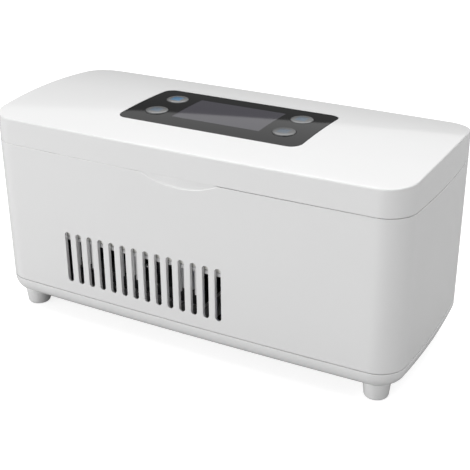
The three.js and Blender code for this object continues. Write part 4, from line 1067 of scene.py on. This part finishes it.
for pocket in (plate_skin("tray_pocket", chamber_half_x + 0.3, chamber_half_y + 0.3, chamber_corner + 0.3,
                          [(0, block_top), (0, 80)]),
               slab("block_well", fan_spot, block_half_x + 0.3, block_half_y + 0.3, past_foam, 60, 0),
               slab("sink_room", fan_spot, sink_half_x + 0.3, sink_half_y + 0.3, past_foam, hot_side, 0),
               block("lead_channel", (cooling_x, -7.4, past_foam), (11.4, 7.4, cold_side), 0),
               rod("sensor_room", 1.8, (sensor_x, 0), 57.9, 80, 32)):
    cut(foam_block, pocket)
settle(foam_block, foam, "chamber_insulation")


# Chamber: the trough for the pens, pressed from aluminium sheet with round lower edges and a flange,
# and the steel bead of the temperature sensor that is clipped to its end.
def trough_round(growth, height, radius):
    """Levels of growth and height up round the lower edge of the trough."""
    return [(growth - radius * (1 - sine), height + radius * (1 - cosine)) for sine, cosine in arc(6)]


tray_levels = trough_round(0, 52.8, 4)
flange_low = foam_top + 0.3
flange_high = flange_low + 1
tray_levels += [(0, flange_low - 0.4), (0.12, flange_low - 0.12), (0.4, flange_low), (3, flange_low),
                (3, flange_high), (-0.2, flange_high), (-0.7, flange_high - 0.2), (-1, flange_high - 0.7)]
tray_levels += trough_round(-1, 53.8, 3)[::-1]
settle(plate_skin("trough", chamber_half_x, chamber_half_y, chamber_corner, tray_levels), aluminium,
       "chamber_tray")
sensor = turned("sensor_bead", [(0, 58.2), (0.8, 58.3), (1.3, 58.7), (1.5, 59.3), (1.5, 65.4), (1.3, 65.9),
                                (0.9, 66.2), (0, 66.2)], (sensor_x, 0, 0), 28)
settle(sensor, plated_steel, "temperature_sensor")


# Deck: the satin white frame round the chamber mouth, which rests on the body's ledge over the
# trough's flange. A steel disc is let into its front for the catch in the lid.
deck_top = 75.8
deck = case_skin("deck_frame", [
    (inside_wall, flange_high + 0.3), (inside_wall, deck_top - edge),
    (inside_wall + 0.1, deck_top - 0.1), (inside_wall + edge, deck_top)])
mouth = plate_skin("mouth", chamber_half_x - 1, chamber_half_y - 1, chamber_corner - 1,
                   [(0, 70), (0, deck_top - 0.6), (0.18, deck_top - 0.18), (0.6, deck_top), (0.6, 80)])
catch = (0, -36.9)


def notches():
    """Room round all knuckles."""
    return [*knuckles("body", notch_radius, clearance), *knuckles("lid", notch_radius, clearance)]


cut(deck, mouth, rod("strike_seat", 3.9, catch, 74.7, 80), *notches())
settle(deck, white_satin, "chamber_deck")
strike_bottom = deck_top - 0.8
strike_profile = [(0, strike_bottom), (3.4, strike_bottom), (3.6, strike_bottom + 0.2),
                  (3.6, deck_top - 0.2), (3.4, deck_top), (0, deck_top)]
strike = turned("strike_disc", strike_profile, (*catch, 0), 48)
settle(strike, plated_steel, "strike_plate")


# Lid: the white ABS cover, arched from front to back, with a shallow recess for the display panel.
# Bosses inside take the liner's screws, and two pegs carry the display board.
lid_bottom = 78.1
lid_roof = 3
top_edge = 0.65
lid_edge = 0.06
lid_draft = 0.15
lid_levels = [(lid_edge, lid_bottom), (lid_edge * 0.3, lid_bottom + lid_edge * 0.3),
              (0, lid_bottom + lid_edge)]
lid_levels += [(*level, 1) for level in quarter_round(lid_draft, rim_height - top_edge, top_edge, 6)]
lid_levels += [(inset, rim_height, 1) for inset in (*range(2, 11, 2), *range(13, 41, 3), 42.5, 44.3)]
lid_shell = case_skin("lid_moulding", lid_levels)
ceiling = rim_height - lid_roof
hollow_levels = [(wall, lid_bottom - 5, 0), (wall, ceiling - 1.5, 1), (wall + 0.45, ceiling - 0.45, 1)]
hollow_levels += [(inset, ceiling, 1) for inset in (wall + 1.5, 10, 18, 26, 34, 40, 44)]
cut(lid_shell, case_skin("lid_hollow", hollow_levels))

panel_half_x = 45
panel_half_y = 23
panel_corner = 5
panel_gap = 0.2
panel_shift = 0.5
key_radius = 5.15
key_spots = four_spots(32, 9, panel_shift)
screen_half_x = 21.8
screen_half_y = 13.4
screen_middle = (panel_shift, 0.6)
peg_spots = [(-41.75, 0), (41.75, 0)]
unbowed = 1e6


def arched_plate(name, half_x, half_y, radius, top_drop, bottom_drop, edge_round, centre_y=0.0):
    """A plate with a straight outline whose top and underside follow the lid's arch, each lowered."""
    insets = [half_y - 0.1, *(half_y * share for share in (0.85, 0.7, 0.55, 0.4, 0.25, 0.12))]
    levels = [(-inset, rim_height - bottom_drop) for inset in [*insets, 0]]
    levels += [(-inset, height) for inset, height
               in quarter_round(0, rim_height - top_drop - edge_round, edge_round, 3)]
    levels += [(-inset, rim_height - top_drop) for inset in reversed(insets)]
    rings = []
    for growth, height in levels:
        corner = max(min(radius, half_y) + growth, 0.05)
        outline = round_rectangle(half_x + growth, half_y + growth, corner, 12, 16, 8)
        rings.append([(x + panel_shift, y + centre_y, height) for x, y in outline])
    return ruled(skin(name, rings), [(unbowed, unbowed, 1)] * len(rings))


lid_boss_spots = four_spots(89.7, 32.7).values()
liner_top = 80.2
join(lid_shell, *rods("lid_boss", 3.2, lid_boss_spots, liner_top + 0.3, 88, 40),
     *rods("peg_post", 2.2, peg_spots, 84.85, 90, 40), *rods("peg", 1.1, peg_spots, 82.35, 86, 24))
recess = arched_plate("recess", panel_half_x + panel_gap, panel_half_y + panel_gap,
                      panel_corner + panel_gap, -3, 1.4, 0.01)
screen_hole = plate_skin("screen_hole", screen_half_x + 0.3, screen_half_y + 0.3, 0.5,
                         [(0, 84.55), (0, 96)], screen_middle)
cut(lid_shell, recess, screen_hole, *rods("key_hole", key_radius + 0.3, key_spots.values(), 87.45, 96),
    *knuckles("body", notch_radius, clearance))
join(lid_shell, *knuckles("lid", knuckle_radius))
cut(lid_shell, *rods("lid_screw_hole", thread_hole, lid_boss_spots, 78, 83.8, 24),
    *knuckles("pin", pin_hole, sides=32))


def mirror_normals(piece, low_height):
    """Gives the arched top of a piece the arch's own normals, so that it reflects without ripples."""
    mesh = piece.data
    curve = 2 * top_arch / (case_depth / 2) ** 2
    nearly_level = 0.98
    normals = []
    for face in mesh.polygons:
        on_top = face.normal.z > nearly_level and face.center.z * 1000 - foot_height > low_height
        for index in face.loop_indices:
            y = mesh.vertices[mesh.loops[index].vertex_index].co.y * 1000 + hinge_overhang
            normals.append(Vector((0, curve * y, 1)).normalized() if on_top
                           else mesh.loops[index].normal.copy())
    mesh.normals_split_custom_set(normals)


lid_sag = 0.3
sag_reach = 25
lid_turn = math.radians(-0.15)
for vertex in lid_shell.data.vertices:
    if vertex.co.z < lid_bottom + 0.5 and vertex.co.y < -hinge_y + wall:
        vertex.co.z -= lid_sag * min(max(0.5 - vertex.co.x / sag_reach / 2, 0), 1)
settle(laid(lid_shell, (0, 0, 0), "Z", lid_turn), white_gloss, "lid_shell", "lid")
mirror_normals(lid_shell, rim_height - 0.2)


# Display board: the green board in the lid, pressed onto its two pegs, with a soldered push switch
# under each key.
display_bottom = 82.91
display_top = 84.51
display_board = slab("key_board", (0, 0), 46, 20, display_bottom, display_top, 0.15, 1)
switch_height = 1.3
for spot in key_spots.values():
    join(display_board, slab("switch", spot, 3, 3, display_top - 0.3, display_top + switch_height, 0.2),
         turned("plunger", [(0, 0), (1.75, 0), (1.75, 1.8), (1.55, 2), (0, 2)], (*spot, display_top), 32))
cut(display_board, *rods("peg_hole", 1.4, peg_spots, display_bottom - 1, display_top + 1, 32))
mark_parts(display_board, lambda x, y, z: (
    laminate if z < display_top + 0.02 else tin if z <= display_top + switch_height + 0.02 else black_resin))
settle(display_board, circuit_board, "display_board", "lid")


# Display panel: a plate of acrylic, printed charcoal on its back and polished on its face, that lies
# flush in the lid. It is open for the four keys and for the glass of the display.
panel_black = grained("panel_gloss", (0.003, 0.003, 0.0035), 0.1, 60.0, 900.0, 0.05, 0.02, 0.0000005,
                      IOR=1.46)
panel = arched_plate("panel_plate", panel_half_x, panel_half_y, panel_corner, 0.03, 1.2, 0.2)
cut(panel, *rods("panel_hole", key_radius + 0.15, key_spots.values(), 80, 96),
    plate_skin("panel_window", screen_half_x + 0.02, screen_half_y + 0.02, 0.3, [(0, 80), (0, 96)],
               screen_middle))
settle(panel, panel_black, "display_window", "lid")
mirror_normals(panel, rim_height + 1)


# Display: a grey liquid crystal cell that stands on its board and fills the opening in the panel, so
# that its glass is level with the panel's face.
screen_grey = grained("screen_glass", (0.050, 0.047, 0.060), 0.06, 80.0, 1500.0, 0.05, 0.02, 0.0000005,
                      IOR=1.96)
screen = arched_plate("display_glass", screen_half_x, screen_half_y, 0.3, 0.03, 6, 0.05, screen_middle[1])
settle(screen, screen_grey, "display_module", "lid")
mirror_normals(screen, rim_height + 1)


# Keys: four round caps of silver-painted ABS with a soft dome and an eased edge. Each has a flange
# under the lid's roof, and slides down onto its switch when it is pressed.
def key_finish(name, blue):
    """Silver paint with a square blue tint in the middle, which follows the cap's own map."""
    finish = grained(name, (0.18, 0.182, 0.184), 0.1, 120.0, 3500.0, 0.24, 0.06, 0.0000005, Metallic=0.45)
    tree = finish.node_tree
    x, y = numbers(add(tree, "ShaderNodeTexCoord", out="UV"))[:2]
    away = calc("MAXIMUM", calc("ABSOLUTE", x - 0.5), calc("ABSOLUTE", y - 0.46))
    fade = add(tree, "ShaderNodeMapRange", {"Value": away, "From Min": 0.16, "From Max": 0.30,
                                            "To Min": blue, "To Max": 0.0}, interpolation_type="SMOOTHSTEP")
    plain = Value(tree.nodes["Group"].outputs["Colour"])
    tinted = add(tree, "ShaderNodeMix", {"Factor": fade, "A": plain, "B": (0.07, 0.21, 0.38, 1)}, 2,
                 data_type="RGBA")
    feed(tree.nodes["Principled BSDF"], {"Base Color": tinted})
    return finish


def arch_height(y):
    """The height of the lid's top at a place across the case."""
    return rim_height + top_arch * (1 - (y / (case_depth / 2)) ** 2)


key_blues = {"front_left": 0.30, "front_right": 0.22, "rear_left": 0.95, "rear_right": 0.30}
flange_radius = 6.25
flange_bottom = 87.41
flange_top = 88.41
for place, (x, y) in key_spots.items():
    rim = arch_height(y) + 0.1
    cap_profile = [(0, flange_bottom), (flange_radius, flange_bottom), (flange_radius, flange_top),
                   (key_radius, flange_top), (key_radius, rim), (key_radius - 0.12, rim + 0.16),
                   (key_radius - 0.35, rim + 0.26)]
    cap_profile += [(key_radius * share, rim + 0.26 + 0.3 * (1 - share ** 2))
                    for share in (0.85, 0.7, 0.5, 0.3, 0.15, 0)]
    cap = turned("key_" + place, cap_profile, (x, y, 0))
    layout = cap.data.uv_layers.new(name="cap")
    for loop in cap.data.loops:
        corner = cap.data.vertices[loop.vertex_index].co
        layout.data[loop.index].uv = ((corner.x - x) / key_radius / 2 + 0.5,
                                      (corner.y - y) / key_radius / 2 + 0.5)
    settle(cap, key_finish("key_silver_" + place, key_blues[place]), "button_" + place,
           "button_" + place, 35)


# Lid insulation: cut closed-cell foam that fills the lid between roof and liner and reaches down into
# the plug. It is held by the liner alone.
liner_bottom = 78.4
plug_bottom = 73.3
lid_foam = case_skin("lid_foam", [(inside_wall, liner_top + 0.3), (inside_wall, ceiling - 0.3)])
plug_half_x = chamber_half_x - 3
plug_half_y = chamber_half_y - 3
plug_wall = 1.8
join(lid_foam, plate_skin("plug_foam", plug_half_x - plug_wall - 0.3, plug_half_y - plug_wall - 0.3, 6,
                          [(0, plug_bottom + plug_wall + 0.3), (0, liner_top + 1)]))
cut(lid_foam, slab("board_room", (0, 0), 46.3, 20.3, 82, 90, 0),
    rod("catch_room", 5.7, catch, liner_top - 1, 82.4),
    *rods("boss_room", 3.5, lid_boss_spots, liner_top - 1, 90, 40))
settle(lid_foam, foam, "lid_insulation", "lid")


# Liner: the satin white inner pan of the lid. Its plug reaches into the chamber mouth, a pocket in its
# front holds the magnet of the catch, and four screws with sunken heads hold it to the lid.
liner = case_skin("liner_pan", [
    (inside_wall + edge, liner_bottom), (inside_wall + 0.1, liner_bottom + 0.1),
    (inside_wall, liner_bottom + edge), (inside_wall, liner_top)])
plug_levels = [(-1.2, plug_bottom), (-0.75, plug_bottom + 0.1), (-0.35, plug_bottom + 0.35),
               (-0.1, plug_bottom + 0.75), (0, plug_bottom + 1.2), (0, liner_top)]
join(liner, plate_skin("plug", plug_half_x, plug_half_y, 6, plug_levels),
     rod("catch_boss", 5.4, catch, liner_bottom + 0.1, 82.1))
cut(liner, plate_skin("plug_hollow", plug_half_x - plug_wall, plug_half_y - plug_wall, 6 - plug_wall,
                      [(0, plug_bottom + plug_wall), (0, 90)]),
    rod("magnet_seat", 3.9, catch, 70, 80.3), *rods("head_seat", 2.8, lid_boss_spots, 70, 79.3, 40),
    *rods("liner_hole", thread_hole, lid_boss_spots, 70, 90, 24), *notches())
settle(liner, white_satin, "lid_liner", "lid")
magnet_profile = [(0, 78.4), (3.3, 78.4), (3.52, 78.48), (3.6, 78.7), (3.6, 79.7), (3.52, 79.92), (3.3, 80),
                  (0, 80)]
magnet = turned("catch_magnet", magnet_profile, (*catch, 0), 48)
settle(magnet, plated_steel, "lid_magnet", "lid")


# Gasket: a soft grey silicone ring with a rounded bead, under the liner, that meets the deck round the
# chamber mouth when the lid is shut.
silicone = grained("silicone", (0.30, 0.30, 0.31), 0.08, 60.0, 1600.0, 0.50, 0.1, 0.000006)
bead = [(0.15, 76.9), (0.45, 76.35), (1.0, 76.1), (2.2, 76.1), (2.75, 76.35), (3.05, 76.9), (3.2, 77.5),
        (3.2, 78.1), (0, 78.1), (0, 77.5)]
gasket = plate_skin("gasket_ring", chamber_half_x + 1, chamber_half_y + 1, chamber_corner + 1, bead,
                    closed=True)
settle(gasket, silicone, "lid_gasket", "lid")


# Studio: a plain pale floor that keeps a soft shadow, a wide soft light overhead and one from the front
# left, a small one at the right and one behind, and a pale world that the camera sees as the background.
floor_shape = bmesh.new()
bmesh.ops.create_grid(floor_shape, x_segments=1, y_segments=1, size=6)
floor = solid("floor", floor_shape)
floor_paint = bpy.data.materials.new("floor_paint")
floor_paint.use_nodes = True
paint_tree = floor_paint.node_tree
plain_paint = paint_tree.nodes["Principled BSDF"]
feed(plain_paint, {"Base Color": (0.44, 0.44, 0.44, 1), "Roughness": 0.9, "Specular IOR Level": 0.0})
x, y = numbers(add(paint_tree, "ShaderNodeTexCoord", out="Object"))[:2]
away = calc("MAXIMUM", calc("ABSOLUTE", x) - 0.080, calc("ABSOLUTE", y) - 0.010)
near_glow, far_glow = [
    add(paint_tree, "ShaderNodeMapRange", {"Value": away, "From Min": start, "From Max": end,
                                           "To Min": 0.0, "To Max": strength})
    for start, end, strength in ((0.0, 0.012, 0.80), (0.3, 1.5, 0.30))]
glow = add(paint_tree, "ShaderNodeEmission", {"Color": (1, 1, 1, 1), "Strength": near_glow + far_glow})
matt = Value(plain_paint.outputs[0])
both = add(paint_tree, "ShaderNodeAddShader", {0: matt, 1: glow})
seen = add(paint_tree, "ShaderNodeLightPath", out="Is Camera Ray")
shown = add(paint_tree, "ShaderNodeMixShader", {0: seen, 1: matt, 2: both})
feed(paint_tree.nodes["Material Output"], {"Surface": shown})
floor.data.materials.append(floor_paint)
floor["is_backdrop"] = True

world = bpy.data.worlds.new("studio")
scene.world = world
world.use_nodes = True
sky = world.node_tree
seen = add(sky, "ShaderNodeLightPath", out="Is Camera Ray")
strength = add(sky, "ShaderNodeMix", {"Factor": seen, "A": 0.14, "B": 1.0}, data_type="FLOAT")
feed(sky.nodes["Background"], {"Strength": strength, "Color": (1, 1, 1, 1)})


def soft_light(name, spot, target, width, height, radiance, turn=0):
    """A rectangular soft light at a spot, turned to a target, with the brightness of its face."""
    lamp = bpy.data.lights.new(name, "AREA")
    lamp.shape = "RECTANGLE"
    lamp.size = width
    lamp.size_y = height
    lamp.energy = radiance * math.pi * width * height
    light = bpy.data.objects.new(name, lamp)
    direction = Vector(target) - Vector(spot)
    light.matrix_world = (Matrix.Translation(spot)
                          @ direction.to_track_quat("-Z", "Y").to_matrix().to_4x4()
                          @ Matrix.Rotation(math.radians(turn), 4, "Z"))
    scene.collection.objects.link(light)


soft_light("front_left", (-0.70, -1.265, 0.46), (0, 0, 0.05), 2.7, 0.8, 3.05)
soft_light("overhead", (0, 0.52, 2.0), (0, 0, 0), 3.2, 3.0, 1.85)
soft_light("right", (1.5, 0.2, 0.6), (0, 0, 0.05), 1.2, 1.2, 1.15)
soft_light("behind", (-0.64, 1.196, 1.281), (0.01, 0.003, 0.1), 2.8, 1.4, 0.467, 21)

low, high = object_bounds()
